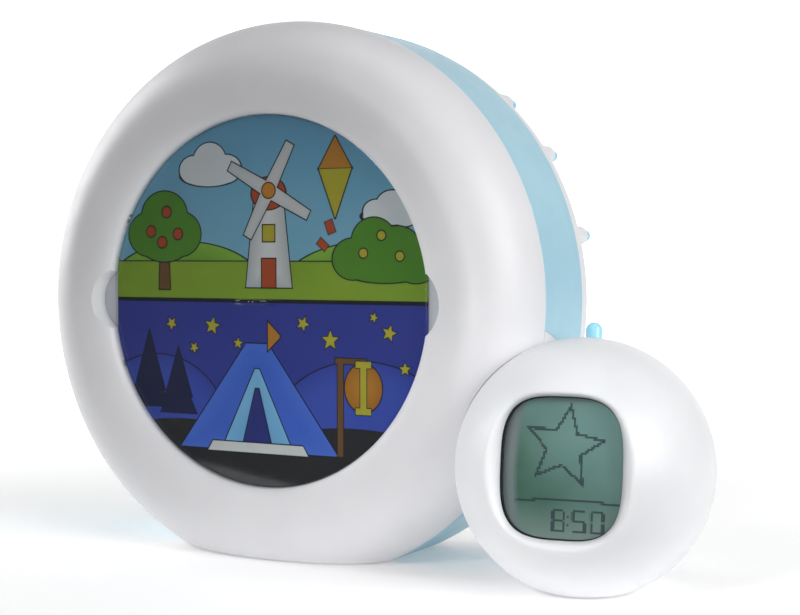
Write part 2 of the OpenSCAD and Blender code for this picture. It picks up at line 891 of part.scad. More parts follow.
module clock_front_shell() {
  color(shell_white) difference() {
    above(pad_proud) ball() front_dome(ball_r, seam_z);
    difference() {
      above(pad_proud + ball_wall) ball() front_dome(ball_r - ball_wall, seam_z + cut);
      ball() front_inside();
    }
    ball() {
      window_plate(0, -ball_r - cut, -lens_z + cut);
      window_plate(lens_lap + gap, -lens_z, 0);
      for (a = clock_boss_angles)
        polar(clock_boss_ring, a) rod(clock_screw_r, seam_z - clock_screw_depth, seam_z + cut);
      for (s = [-1, 1])
        translate([s * board_post_x, 0, 0]) rod(clock_screw_r, clock_board_z - 5, clock_board_z + cut);
    }
    foot_recess();
  }
}

module foot_recess() {
  translate([ball_x, ball_y, pad_proud]) rod(foot_r + gap, -cut, pad_recess);
}

// The bosses and posts that stay solid inside the rear shell
module rear_inside() {
  for (a = clock_boss_angles) polar(clock_boss_ring, a) rod(clock_boss_r, seam_z - cut, ball_r);
  for (s = [-1, 1]) translate([s * switch_post_x, switch_board_y, 0])
    rod(switch_post_r, switch_board_z + board_t, ball_r);
}

module clock_rear_shell() {
  color(shell_white) difference() {
    union() {
      difference() {
        above(pad_proud) ball() intersection() {
          sphere(ball_back_r, $fn = fine);
          translate([-big, -big, seam_z]) cube(2 * big);
        }
        difference() {
          above(pad_proud + ball_wall) ball() sphere(ball_back_r - ball_wall, $fn = fine);
          ball() rear_inside();
        }
      }
      above(pad_proud + ball_wall + gap) ball()
        ring(ball_back_r - ball_wall + 0.2, ball_back_r - ball_wall - 1.2,
          seam_z - clock_tongue, seam_z + 1.2);
    }
    ball() {
      for (a = clock_boss_angles) polar(clock_boss_ring, a) {
        rod(clock_screw_r + gap, 0, ball_r);
        rod(clock_screw_head_r + gap, clock_head_z, ball_r);
      }
      for (s = [-1, 1]) translate([s * switch_post_x, switch_board_y, 0])
        rod(clock_screw_r, switch_board_z, switch_board_z + board_t + 6);
      for (i = [-1:1]) translate([i * set_button_x, switch_board_y, 0])
        rod(set_button_r + button_gap, set_button_front, ball_r + cut);
      top_axis() rod(top_button_r + button_gap, ball_r / 2, ball_r + cut);
      translate([0, tray_y, 0]) block(tray_in, tray_front, ball_r + cut);
    }
    contact_rays() rod(contact_pad_r + gap, ball_r / 2, ball_r + cut);
    foot_recess();
  }
}

// The axis of the top button, with z running up out of the shell
module top_axis() {
  translate([0, 0, top_button_z]) rotate([90, 0, 0]) children();
}

module window_lens() {
  color([0.8, 0.9, 0.9, 0.4]) ball() window_plate(lens_lap, -lens_z, -lens_z + lens_t);
}

module screen_gasket() {
  color("black") ball() difference() {
    window_plate(lens_lap - 0.2, -lens_z + lens_t, -lens_z + lens_t + gasket_t);
    window_plate(-gasket_in, -lens_z, 0);
  }
}

module lcd_panel() {
  color("#4C6F63") ball() block(lcd_size, lcd_z, lcd_z + lcd_t);
}

module screen_backlight() {
  color("#DDE8C8") ball() block([lcd_size[0] - 2, lcd_size[1] - 2], lcd_z + lcd_t, clock_board_z);
}

module clock_board() {
  color(board_green) ball() difference() {
    disc(clock_board_r, clock_board_z, clock_board_z + board_t);
    for (s = [-1, 1]) translate([s * board_post_x, 0, 0]) rod(clock_screw_r + gap, -ball_r, 0);
  }
}

module clock_chip() {
  color(dark_grey) ball() translate([-8, -6, clock_board_z + board_t]) block([9, 9], 0, 1.6);
}

module clock_buzzer() {
  color(dark_grey) ball() translate([8, 10, clock_board_z + board_t]) rod(7, 0, 4);
}

module clock_switch_board() {
  color(board_green) ball() difference() {
    translate([0, switch_board_y, 0]) block(switch_board_size, switch_board_z, switch_board_z + board_t);
    for (s = [-1, 1]) translate([s * switch_post_x, switch_board_y, 0]) rod(clock_screw_r + gap, 0, ball_r);
  }
}

module clock_switches() {
  color(dark_grey) ball() {
    for (i = [-1:1]) translate([i * set_button_x, switch_board_y, 0])
      key_switch(switch_board_z + board_t);
    translate([0, top_switch_y + top_switch_size[1] / 2, 0])
      block([top_switch_size[0], top_switch_size[1]], switch_board_z - top_switch_size[2], switch_board_z);
    top_axis() rod(plunger_r, -top_switch_y - 0.1, -top_switch_y + plunger_h);
  }
}

module alarm_button() {
  color(clear_blue) ball() top_axis() {
    rod(top_button_r, -top_switch_y + plunger_h + switch_rest, ball_r + top_button_reach - top_button_r);
    translate([0, 0, ball_r + top_button_reach - top_button_r]) sphere(top_button_r, $fn = round_n);
  }
}

// One of the setting buttons, its face following the shell
module set_button(i) {
  color(clear_blue) ball() intersection() {
    translate([i * set_button_x, switch_board_y, 0]) rod(set_button_r, set_button_front, ball_r + cut);
    sphere(ball_back_r + set_button_out, $fn = fine);
  }
}

module mode_button() {
  set_button(-1);
}

module plus_button() {
  set_button(0);
}

module minus_button() {
  set_button(1);
}

module clock_battery_box() {
  color("white") ball() difference() {
    intersection() {
      translate([0, tray_y, 0])
        block([tray_in[0] + 2 * tray_wall, tray_in[1] + 2 * tray_wall], tray_front - tray_wall, ball_r);
      sphere(ball_back_r - ball_wall, $fn = fine);
    }
    translate([0, tray_y, 0]) block(tray_in, tray_front, ball_r);
  }
}

// Turns what is drawn along z into the axis of small cell i
module small_cell_axis(i) {
  translate([0, tray_y + (i - 0.5) * small_cell_pitch, tray_front + small_cell_r + 0.2])
    rotate([0, i == 0 ? 90 : -90, 0]) children();
}

module clock_batteries() {
  color("#3C6FA8") ball() for (i = [0:1])
    small_cell_axis(i) cell(small_cell_r, 1.9, small_cell_len, tray_in[0] / 2 - plate_t - 0.2);
}

module clock_battery_contacts() {
  color(steel) ball() for (i = [0:1], s = [-1, 1])
    translate([s * (tray_in[0] - plate_t) / 2, tray_y + (i - 0.5) * small_cell_pitch, 0])
      block([plate_t, 7], tray_front, tray_front + 2 * small_cell_r - 2);
}

module clock_battery_door() {
  color(shell_white) ball() intersection() {
    translate([0, tray_y, 0])
      block([tray_in[0] - 2 * door_gap, tray_in[1] - 2 * door_gap], tray_front, ball_r);
    difference() {
      sphere(ball_back_r, $fn = fine);
      sphere(ball_back_r - ball_wall, $fn = fine);
    }
  }
}

module clock_contact_pads() {
  color("gold") contact_rays() rod(contact_pad_r, ball_back_r - 3, ball_back_r - 0.1);
}

module clock_screws() {
  color(steel) ball() {
    for (a = clock_boss_angles) polar(clock_boss_ring, a) translate([0, 0, clock_head_z])
      screw(clock_screw_r, clock_screw_head_r, clock_head_z - seam_z + clock_screw_depth - 1);
    for (s = [-1, 1]) translate([s * board_post_x, 0, clock_board_z + board_t])
      screw(clock_screw_r, clock_screw_head_r, board_t + 4);
    for (s = [-1, 1]) translate([s * switch_post_x, switch_board_y, switch_board_z]) mirror([0, 0, 1])
      screw(clock_screw_r, clock_screw_head_r, board_t + 5);
  }
}

module clock_foot_pad() {
  color(dark_grey) translate([ball_x, ball_y, 0]) rod(foot_r, 0, pad_proud + pad_recess);
}

front_bezel();
body_band();
rear_cover();
dock_cup();
base_pad();
picture_cover();
picture_sheet();
diffuser_panel();
light_box();
light_divider();
day_light_board();
night_light_board();
day_leds();
night_leds();
main_board();
board_chips();
speaker_basket();
speaker_magnet();
speaker_cone();
battery_box();
batteries();
battery_springs();
battery_contacts();
battery_door();
battery_door_screw();
button_board();
button_switches();
upper_button();
middle_button();
lower_button();
power_jack();
dock_contacts();
bezel_screws();
rear_screws();
light_box_screws();
board_screws();
clock_front_shell();
clock_rear_shell();
window_lens();
screen_gasket();
lcd_panel();
screen_backlight();
clock_board();
clock_chip();
clock_buzzer();
clock_switch_board();
clock_switches();
clock_battery_box();
clock_batteries();
clock_battery_contacts();
clock_battery_door();
clock_contact_pads();
clock_screws();
clock_foot_pad();
alarm_button();
mode_button();
plus_button();
minus_button();
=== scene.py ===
"""Looks of a bedside night light with a picture disc, and of the ball-shaped clock docked in its side.

Sizes in the classes are millimetres. A piece is modelled in the frame of its own unit and is then seated
in the row frame, in metres: x to the right, z up, and the picture facing -y.
"""

import json
import logging
import math
from collections.abc import Iterator, Sequence
from contextlib import contextmanager
from dataclasses import dataclass
from enum import Enum
from functools import partial, reduce

import bpy
from mathutils import Matrix, Vector

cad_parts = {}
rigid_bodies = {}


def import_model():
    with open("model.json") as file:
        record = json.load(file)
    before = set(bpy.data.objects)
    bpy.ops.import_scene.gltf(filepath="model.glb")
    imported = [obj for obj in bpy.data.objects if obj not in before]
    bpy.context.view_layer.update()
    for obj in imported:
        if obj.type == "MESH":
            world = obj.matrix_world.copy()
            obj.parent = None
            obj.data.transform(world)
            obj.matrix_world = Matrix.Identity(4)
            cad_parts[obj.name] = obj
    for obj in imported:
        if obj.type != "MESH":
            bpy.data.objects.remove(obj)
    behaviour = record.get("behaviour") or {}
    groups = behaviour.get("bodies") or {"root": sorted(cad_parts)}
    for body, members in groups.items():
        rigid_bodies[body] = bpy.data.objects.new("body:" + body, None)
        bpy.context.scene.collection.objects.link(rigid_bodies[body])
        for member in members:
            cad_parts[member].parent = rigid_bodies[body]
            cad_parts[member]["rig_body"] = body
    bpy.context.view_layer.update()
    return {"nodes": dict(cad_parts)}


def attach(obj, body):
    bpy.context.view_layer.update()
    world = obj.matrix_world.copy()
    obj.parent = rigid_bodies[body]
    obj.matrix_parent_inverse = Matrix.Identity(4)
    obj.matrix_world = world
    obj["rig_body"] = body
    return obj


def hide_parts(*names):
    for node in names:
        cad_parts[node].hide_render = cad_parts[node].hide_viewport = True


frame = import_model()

LOG = logging.getLogger("night_light")
MM = 0.001
MID_Y = 32.8
AXIS_H = 91.1
PAD_PROUD = 0.5
BASE_DROP = AXIS_H - PAD_PROUD
BALL_CENTRE = (116.8, -24.4, 39.3)
BALL_YAW = 7.0
BALL_PITCH = 7.0
PLENTY = 300.0
PLATE_ANGLE = 50.0
Point = tuple[float, float]
Spot = tuple[float, float, float, float]
Tree = bpy.types.NodeTree
Node = bpy.types.Node
Socket = bpy.types.NodeSocket
Solid = bpy.types.Object


class Seat(Enum):
    """The frame that a piece is modelled in, in millimetres."""

    ROW = "row frame, z up"
    DRUM = "along the axis of the case, z to the back and y down"
    BALL = "along the small clock's window axis, z to the back and y down"

    def matrix(self) -> Matrix:
        """Returns: the matrix from this frame, in millimetres, to the row frame, in metres."""
        back = Matrix.Rotation(math.radians(-90), 4, "X")
        place = Matrix.Identity(4)
        if self is Seat.DRUM:
            place = Matrix.Translation((0, -MID_Y, AXIS_H)) @ back
        if self is Seat.BALL:
            yaw = Matrix.Rotation(math.radians(BALL_YAW), 4, "Z")
            pitch = Matrix.Rotation(math.radians(-BALL_PITCH), 4, "X")
            place = Matrix.Translation(BALL_CENTRE) @ yaw @ pitch @ back
        return Matrix.Scale(MM, 4) @ place


def linear(colour: str) -> tuple[float, float, float, float]:
    """Turns an sRGB hex colour into the linear value that a shader takes.

    Args:
        colour: six hex digits after a #.

    Returns:
        Red, green, blue and an opacity of 1.
    """
    parts = [int(colour[i : i + 2], 16) / 255 for i in (1, 3, 5)]
    red, green, blue = [p / 12.92 if p <= 0.04045 else ((p + 0.055) / 1.055) ** 2.4 for p in parts]
    return red, green, blue, 1.0


def feed(tree: Tree, target: Socket, value: Socket | float | Sequence[float]) -> None:
    """Feeds an input.

    Args:
        tree: the shader's tree.
        target: the input.
        value: the socket to link to it, or its constant value.
    """
    if isinstance(value, Socket):
        tree.links.new(value, target)
    else:
        target.default_value = value


def add_node(tree: Tree, kind: str, links: dict | None = None, **settings) -> Node:
    """Adds a node to a shader.

    Args:
        tree: the shader's tree.
        kind: Blender's name of the node, without ShaderNode.
        links: the value, or the socket to link, of each input by name or number.
        settings: the node's own settings.

    Returns:
        The new node.
    """
    made = tree.nodes.new("ShaderNode" + kind)
    for name, value in settings.items():
        setattr(made, name, value)
    for key, value in (links or {}).items():
        feed(tree, made.inputs[key], value)
    return made


def stand(name: str, data: bpy.types.ID) -> Solid:
    """Returns: a new object of some data, in the scene."""
    made = bpy.data.objects.new(name, data)
    bpy.context.scene.collection.objects.link(made)
    return made


@dataclass
class Coat:
    """A shader in the making: its tree, its surface node, and the place on the piece in metres."""

    tree: Tree
    shader: Node
    where: Socket

    def put(self, values: dict[str, Socket | float | Sequence[float]]) -> None:
        """Feeds the surface node's inputs, by name."""
        for name, value in values.items():
            feed(self.tree, self.shader.inputs[name], value)

    def calc(self, operation: str, *values: Socket | float, clamp: bool = False) -> Socket:
        """Returns: the result of a sum, kept from 0 to 1 where it is clamped."""
        links = dict(enumerate(values))
        return add_node(self.tree, "Math", links, operation=operation, use_clamp=clamp).outputs[0]

    def grain(self, pitch: float, detail: float = 2.0, where: Socket | None = None) -> Socket:
        """Adds soft noise.

        Args:
            pitch: the size of one grain, in millimetres.
            detail: how many finer layers it has.
            where: the place, if it isn't the place on the piece.

        Returns:
            The noise, from 0 to 1.
        """
        place = self.where if where is None else where
        links = {"Vector": place, "Scale": 1 / (pitch * MM), "Detail": detail, "Roughness": 0.5}
        return add_node(self.tree, "TexNoise", links).outputs["Fac"]

    def ramp(
        self, value: Socket, start: float, end: float, low: float = 0.0, high: float = 1.0, **settings
    ) -> Socket:
        """Maps one range of a value to another.

        Args:
            value: the value.
            start: where it gives the low end.
            end: where it gives the high end.
            low: the low end.
            high: the high end.
            settings: the node's own settings.

        Returns:
            The mapped value, which stays between the ends.
        """
        links = {"Value": value, "From Min": start, "From Max": end, "To Min": low, "To Max": high}
        return add_node(self.tree, "MapRange", links, **settings).outputs["Result"]

    def between(self, noise: Socket, low: float, high: float) -> Socket:
        """Returns: the middle of a noise, mapped to a range."""
        return self.ramp(noise, 0.35, 0.65, low, high)

    def blend(self, share: Socket | float, first: Socket | str, second: Socket | str) -> Socket:
        """Mixes two colours.

        Args:
            share: how much of the second shows.
            first: a colour or a colour socket.
            second: a colour or a colour socket.

        Returns:
            The mixed colour.
        """
        ends = [linear(colour) if isinstance(colour, str) else colour for colour in (first, second)]
        return add_node(self.tree, "Mix", {0: share, 6: ends[0], 7: ends[1]}, data_type="RGBA").outputs[2]

    def dent(self, height: Socket, depth: float) -> Socket:
        """Returns: the normal over a relief of a height from 0 to 1 and a depth in millimetres."""
        links = {"Height": height, "Distance": depth * MM, "Strength": 1.0}
        return add_node(self.tree, "Bump", links).outputs[0]

    def unit_place(self, seat: Seat) -> Socket:
        """Turns the place on the piece into millimetres of a unit's own frame.

        Args:
            seat: the unit's frame.

        Returns:
            The place, x to the right and y down.
        """
        back = seat.matrix().inverted()
        links = {
            "Vector": self.where,
            "Location": back.to_translation(),
            "Rotation": back.to_euler(),
            "Scale": (1 / MM, 1 / MM, 1 / MM),
        }
        place = add_node(self.tree, "Mapping", links).outputs[0]
        flat = {0: place, 1: (1.0, 1.0, 0.0)}
        return add_node(self.tree, "VectorMath", flat, operation="MULTIPLY").outputs[0]


@dataclass(frozen=True)
class Finish:
    """A surface finish and the name of its slot. Its material is made once and shared by its pieces."""

    title: str
    slot: str

    def material(self) -> bpy.types.Material:
        """Returns: the finish's material."""
        ready = bpy.data.materials.get(self.title)
        if ready:
            return ready
        ready = bpy.data.materials.new(self.title)
        ready.use_nodes = True
        tree = ready.node_tree
        self.surface(Coat(tree, tree.nodes["Principled BSDF"], add_node(tree, "TexCoord").outputs["Object"]))
        return ready

    def surface(self, coat: Coat) -> None:
        """Lays the finish.

        Args:
            coat: the shader in the making.
        """
        raise NotImplementedError


@dataclass(frozen=True)
class Moulded(Finish):
    """Plastic or rubber moulded in a die: even colour with faint flow clouding, and the die's fine grain.

    A die's real grain, about 0.05 mm, is too fine to show, so grain_pitch draws it coarser.
    """

    colour: str
    cloud: str
    roughness: float
    grain_pitch: float = 0.5
    grain_depth: float = 0.004
    glow: float = 0.0
    glow_reach: float = 1.5
    gloss_spread: float = 0.05
    cloud_pitch: float = 28.0
    wear_pitch: float = 6.0

    def surface(self, coat: Coat) -> None:
        """Lays the moulded colour, its gloss and its grain, as Finish.surface says."""
        flow = coat.between(coat.grain(self.cloud_pitch), 0.0, 1.0)
        low, high = self.roughness - self.gloss_spread, self.roughness + self.gloss_spread
        coat.put({
            "Base Color": coat.blend(flow, self.colour, self.cloud),
            "Roughness": coat.between(coat.grain(self.wear_pitch, 4.0), low, high),
            "Normal": coat.dent(coat.grain(self.grain_pitch), self.grain_depth),
            "IOR": 1.49,
            "Subsurface Weight": self.glow,
            "Subsurface Radius": (1.0, 0.9, 0.8),
            "Subsurface Scale": self.glow_reach * MM,
        })


@dataclass(frozen=True)
class Clear(Finish):
    """Clear sheet with a polished face: it lets the light through and mirrors more towards grazing angles."""

    colour: str
    roughness: float = 0.03
    ior: float = 1.49
    wave_pitch: float = 14.0
    wave_depth: float = 0.006

    def surface(self, coat: Coat) -> None:
        """Lays the clear body under the faint waves of its moulded face, as Finish.surface says."""
        waves = coat.grain(self.wave_pitch, 0.0)
        normal = coat.dent(waves, self.wave_depth)
        rubbed = coat.between(coat.grain(5.0, 4.0), self.roughness, self.roughness * 2)
        tinted = coat.blend(waves, self.colour, "#FFFFFF")
        through = add_node(coat.tree, "BsdfTransparent", {"Color": tinted}).outputs[0]
        mirror = add_node(coat.tree, "BsdfGlossy", {"Roughness": rubbed, "Normal": normal}).outputs[0]
        head_on = ((self.ior - 1) / (self.ior + 1)) ** 2
        facing = add_node(coat.tree, "LayerWeight", {"Blend": 0.5, "Normal": normal}).outputs["Facing"]
        share = coat.calc("MULTIPLY_ADD", coat.calc("POWER", facing, 5.0), 1 - head_on, head_on)
        both = add_node(coat.tree, "MixShader", {0: share, 1: through, 2: mirror}).outputs[0]
        coat.tree.nodes.remove(coat.shader)
        feed(coat.tree, coat.tree.nodes["Material Output"].inputs["Surface"], both)


@dataclass(frozen=True)
class Metal(Finish):
    """Drawn or plated metal: fine lines of the tool in its gloss, and small dull patches.

    The real lines lie about 0.02 mm apart, too fine to show, so line_pitch draws them coarser.
    """

    colour: str
    dull: str
    roughness: float
    patch_pitch: float = 2.0
    line_pitch: float = 1.2

    def surface(self, coat: Coat) -> None:
        """Lays the metal, as Finish.surface says."""
        patch = coat.between(coat.grain(self.patch_pitch, 4.0), 0.0, 1.0)
        drawn = add_node(coat.tree, "Mapping", {"Vector": coat.where, "Scale": (1.0, 9.0, 9.0)}).outputs[0]
        lines = coat.grain(self.line_pitch, where=drawn)
        coat.put({
            "Base Color": coat.blend(patch, self.colour, self.dull),
            "Roughness": coat.between(lines, self.roughness * 0.75, self.roughness * 1.25),
            "Normal": coat.dent(lines, 0.01),
            "Metallic": 1.0,
        })


@dataclass(frozen=True)
class Board(Finish):
    """Glass-fibre circuit board under solder mask: copper tracks raise the mask and show lighter."""

    mask: str
    track: str
    track_pitch: float = 2.5

    def surface(self, coat: Coat) -> None:
        """Lays the mask and its tracks, as Finish.surface says."""
        links = {"Vector": coat.where, "Scale": 1 / (self.track_pitch * MM), "Randomness": 0.6}
        cells = add_node(coat.tree, "TexVoronoi", links, feature="DISTANCE_TO_EDGE", distance="MANHATTAN")
        copper = coat.ramp(cells.outputs[0], 0.05, 0.1, 1.0, 0.0)
        coat.put({
            "Base Color": coat.blend(copper, self.mask, self.track),
            "Normal": coat.dent(copper, 0.03),
            "Roughness": coat.between(coat.grain(1.0), 0.25, 0.4),
        })


@dataclass(frozen=True)
class Banded(Finish):
    """Printed foil or pressed paper with bands across one axis of its piece."""

    colour: str
    band: str
    pitch: float
    axis: int
    roughness: float = 0.35
    gloss_spread: float = 0.06

    def surface(self, coat: Coat) -> None:
        """Lays the bands, as Finish.surface says."""
        pitch = self.pitch * MM
        along = add_node(coat.tree, "SeparateXYZ", {0: coat.where}).outputs[self.axis]
        edge = coat.ramp(coat.calc("PINGPONG", along, pitch), 0.3 * pitch, 0.36 * pitch)
        crease = coat.grain(0.8, 4.0)
        low, high = self.roughness - self.gloss_spread, self.roughness + self.gloss_spread
        coat.put({
            "Base Color": coat.blend(edge, self.colour, self.band),
            "Normal": coat.dent(crease, 0.02),
            "Roughness": coat.between(crease, low, high),
        })


@dataclass(frozen=True)
class BacklitPaper(Finish):
    """Matt paper lit from behind, which glows more the farther it lies from the object.

    Real fibres are too fine to show, so fibre_pitch draws them coarser.
    """

    colour: str
    fibre: str
    fibre_pitch: float = 3.0
    glow: tuple[float, float] = (0.19, 0.8)
    reach: tuple[float, float] = (0.16, 0.8)

    def surface(self, coat: Coat) -> None:
        """Lays the paper's fibre and its glow, as Finish.surface says."""
        far = add_node(coat.tree, "VectorMath", {0: coat.where}, operation="LENGTH").outputs["Value"]
        coat.put({
            "Base Color": coat.blend(coat.grain(self.fibre_pitch), self.colour, self.fibre),
            "Roughness": 0.9,
            "Emission Color": (1, 1, 1, 1),
            "Emission Strength": coat.ramp(far, *self.reach, *self.glow),
        })


class Form(Enum):
    """The flat shapes that printed and displayed art is laid from."""

    ROUND = "ellipse"
    WEDGE = "upright box, narrower at the top by its pinch"
    STAR = "star with five points"


@dataclass(frozen=True)
class Shape:
    """A flat shape: its middle, its half sizes, its turn in degrees and, for a wedge, its pinch."""

    form: Form
    x: float
    y: float
    wide: float
    high: float
    turn: float = 0.0
    pinch: float = 0.0


@dataclass(frozen=True)
class Motif:
    """Shapes that join in one colour, with or without a dark line round them."""

    colour: str
    shapes: tuple[Shape, ...]
    line: float = 0.45
    shade: str = ""


@dataclass
class Painter:
    """Lays motifs over each other in a shader, from the back to the front."""

    coat: Coat
    where: Socket
    colour: Socket
    ink: str
    soft: float = 0.2

    def distance(self, shape: Shape) -> Socket:
        """Measures how far a place lies outside a shape.

        Args:
            shape: the shape.

        Returns:
            The distance in millimetres, below 0 inside.
        """
        turn = shape.turn - (90.0 if shape.form is Form.STAR else 0.0)
        links = {
            "Vector": self.where,
            "Location": (shape.x, shape.y, 0.0),
            "Rotation": (0.0, 0.0, math.radians(turn)),
            "Scale": (shape.wide, shape.high, 1.0) if shape.form is Form.ROUND else (1.0, 1.0, 1.0),
        }
        local = add_node(self.coat.tree, "Mapping", links, vector_type="TEXTURE").outputs[0]
        if shape.form is Form.WEDGE:
            return self.wedge(shape, local)
        length = add_node(self.coat.tree, "VectorMath", {0: local}, operation="LENGTH").outputs["Value"]
        if shape.form is Form.STAR:
            return self.star(shape, local, length)
        least = min(shape.wide, shape.high)
        return self.coat.calc("MULTIPLY_ADD", length, least, -least)

    def star(self, shape: Shape, local: Socket, length: Socket) -> Socket:
        """Measures the distance to a star.

        Args:
            shape: the star.
            local: the place in the star's own frame, x to its first point.
            length: the place's distance from the star's middle.

        Returns:
            The distance in millimetres.
        """
        calc = self.coat.calc
        across, down, _ = add_node(self.coat.tree, "SeparateXYZ", {0: local}).outputs
        fold = math.pi / 5
        valley = 0.45
        normal = math.atan2(1 - valley * math.cos(fold), valley * math.sin(fold))
        angle = calc("PINGPONG", calc("ARCTAN2", down, across), fold)
        out = calc("MULTIPLY", length, calc("COSINE", calc("SUBTRACT", angle, normal)))
        return calc("SUBTRACT", out, shape.wide * math.cos(normal))

    def wedge(self, shape: Shape, local: Socket) -> Socket:
        """Measures the distance to a wedge.

        Args:
            shape: the wedge.
            local: the place in the wedge's own frame, y down.

        Returns:
            The distance in millimetres.
        """
        calc = self.coat.calc
        across, down, _ = add_node(self.coat.tree, "SeparateXYZ", {0: local}).outputs
        slope = shape.wide * shape.pinch / (2 * shape.high)
        flat = 1 / math.hypot(1, slope)
        side = calc("MULTIPLY_ADD", down, -slope, calc("ABSOLUTE", across))
        beside = calc("MULTIPLY_ADD", side, flat, -shape.wide * (1 - shape.pinch / 2) * flat)
        return calc("MAXIMUM", beside, calc("SUBTRACT", calc("ABSOLUTE", down), shape.high))

    def reach(self, shapes: Sequence[Shape]) -> Socket:
        """Returns: the distance to the nearest of several shapes."""
        return reduce(partial(self.coat.calc, "MINIMUM"), map(self.distance, shapes))

    def line(self, shapes: Sequence[Shape], half: float) -> Socket:
        """Returns: the distance to a line round several shapes, from half its width."""
        return self.coat.calc("SUBTRACT", self.coat.calc("ABSOLUTE", self.reach(shapes)), half)

    def mask(self, distance: Socket, grow: float = 0.0) -> Socket:
        """Returns: 1 inside a distance and 0 outside, with a soft edge that a margin moves out."""
        return self.coat.calc("MULTIPLY_ADD", distance, -1 / self.soft, 0.5 + grow / self.soft, clamp=True)

    def lay(self, motif: Motif) -> None:
        """Lays a motif over what is there."""
        nearest = self.reach(motif.shapes)
        if motif.line > 0:
            self.colour = self.coat.blend(self.mask(nearest, motif.line), self.colour, self.ink)
        fill: Socket | str = motif.colour
        if motif.shade:
            rim = self.coat.calc("MULTIPLY_ADD", nearest, 0.16, 1.0, clamp=True)
            fill = self.coat.blend(rim, motif.colour, motif.shade)
        self.colour = self.coat.blend(self.mask(nearest), self.colour, fill)


def rounds(*spots: Spot) -> tuple[Shape, ...]:
    """Returns: ellipses, each from its middle and half sizes."""
    return tuple(Shape(Form.ROUND, *spot) for spot in spots)


def stars(*spots: Spot) -> tuple[Shape, ...]:
    """Returns: stars, each from its middle, size and turn."""
    return tuple(Shape(Form.STAR, x, y, size, size, turn) for x, y, size, turn in spots)


def wedge(x: float, y: float, wide: float, high: float, turn: float = 0.0, pinch: float = 0.0) -> Shape:
    """Returns: a box or, with a pinch, a box that narrows to its top."""
    return Shape(Form.WEDGE, x, y, wide, high, turn, pinch)


@dataclass(frozen=True)
class Inks:
    """The inks of the print."""

    line: str = "#10161C"
    cloud: str = "#D6D8DA"
    wall: str = "#D6D5D3"
    sail: str = "#DAD9D6"
    red: str = "#AD471E"
    orange: str = "#BE7D28"
    yellow: str = "#B3A62C"
    star: str = "#B8AC34"
    brown: str = "#6B4A24"
    leaf: str = "#4F8620"
    lawn: str = "#85A32A"
    ground: str = "#202024"


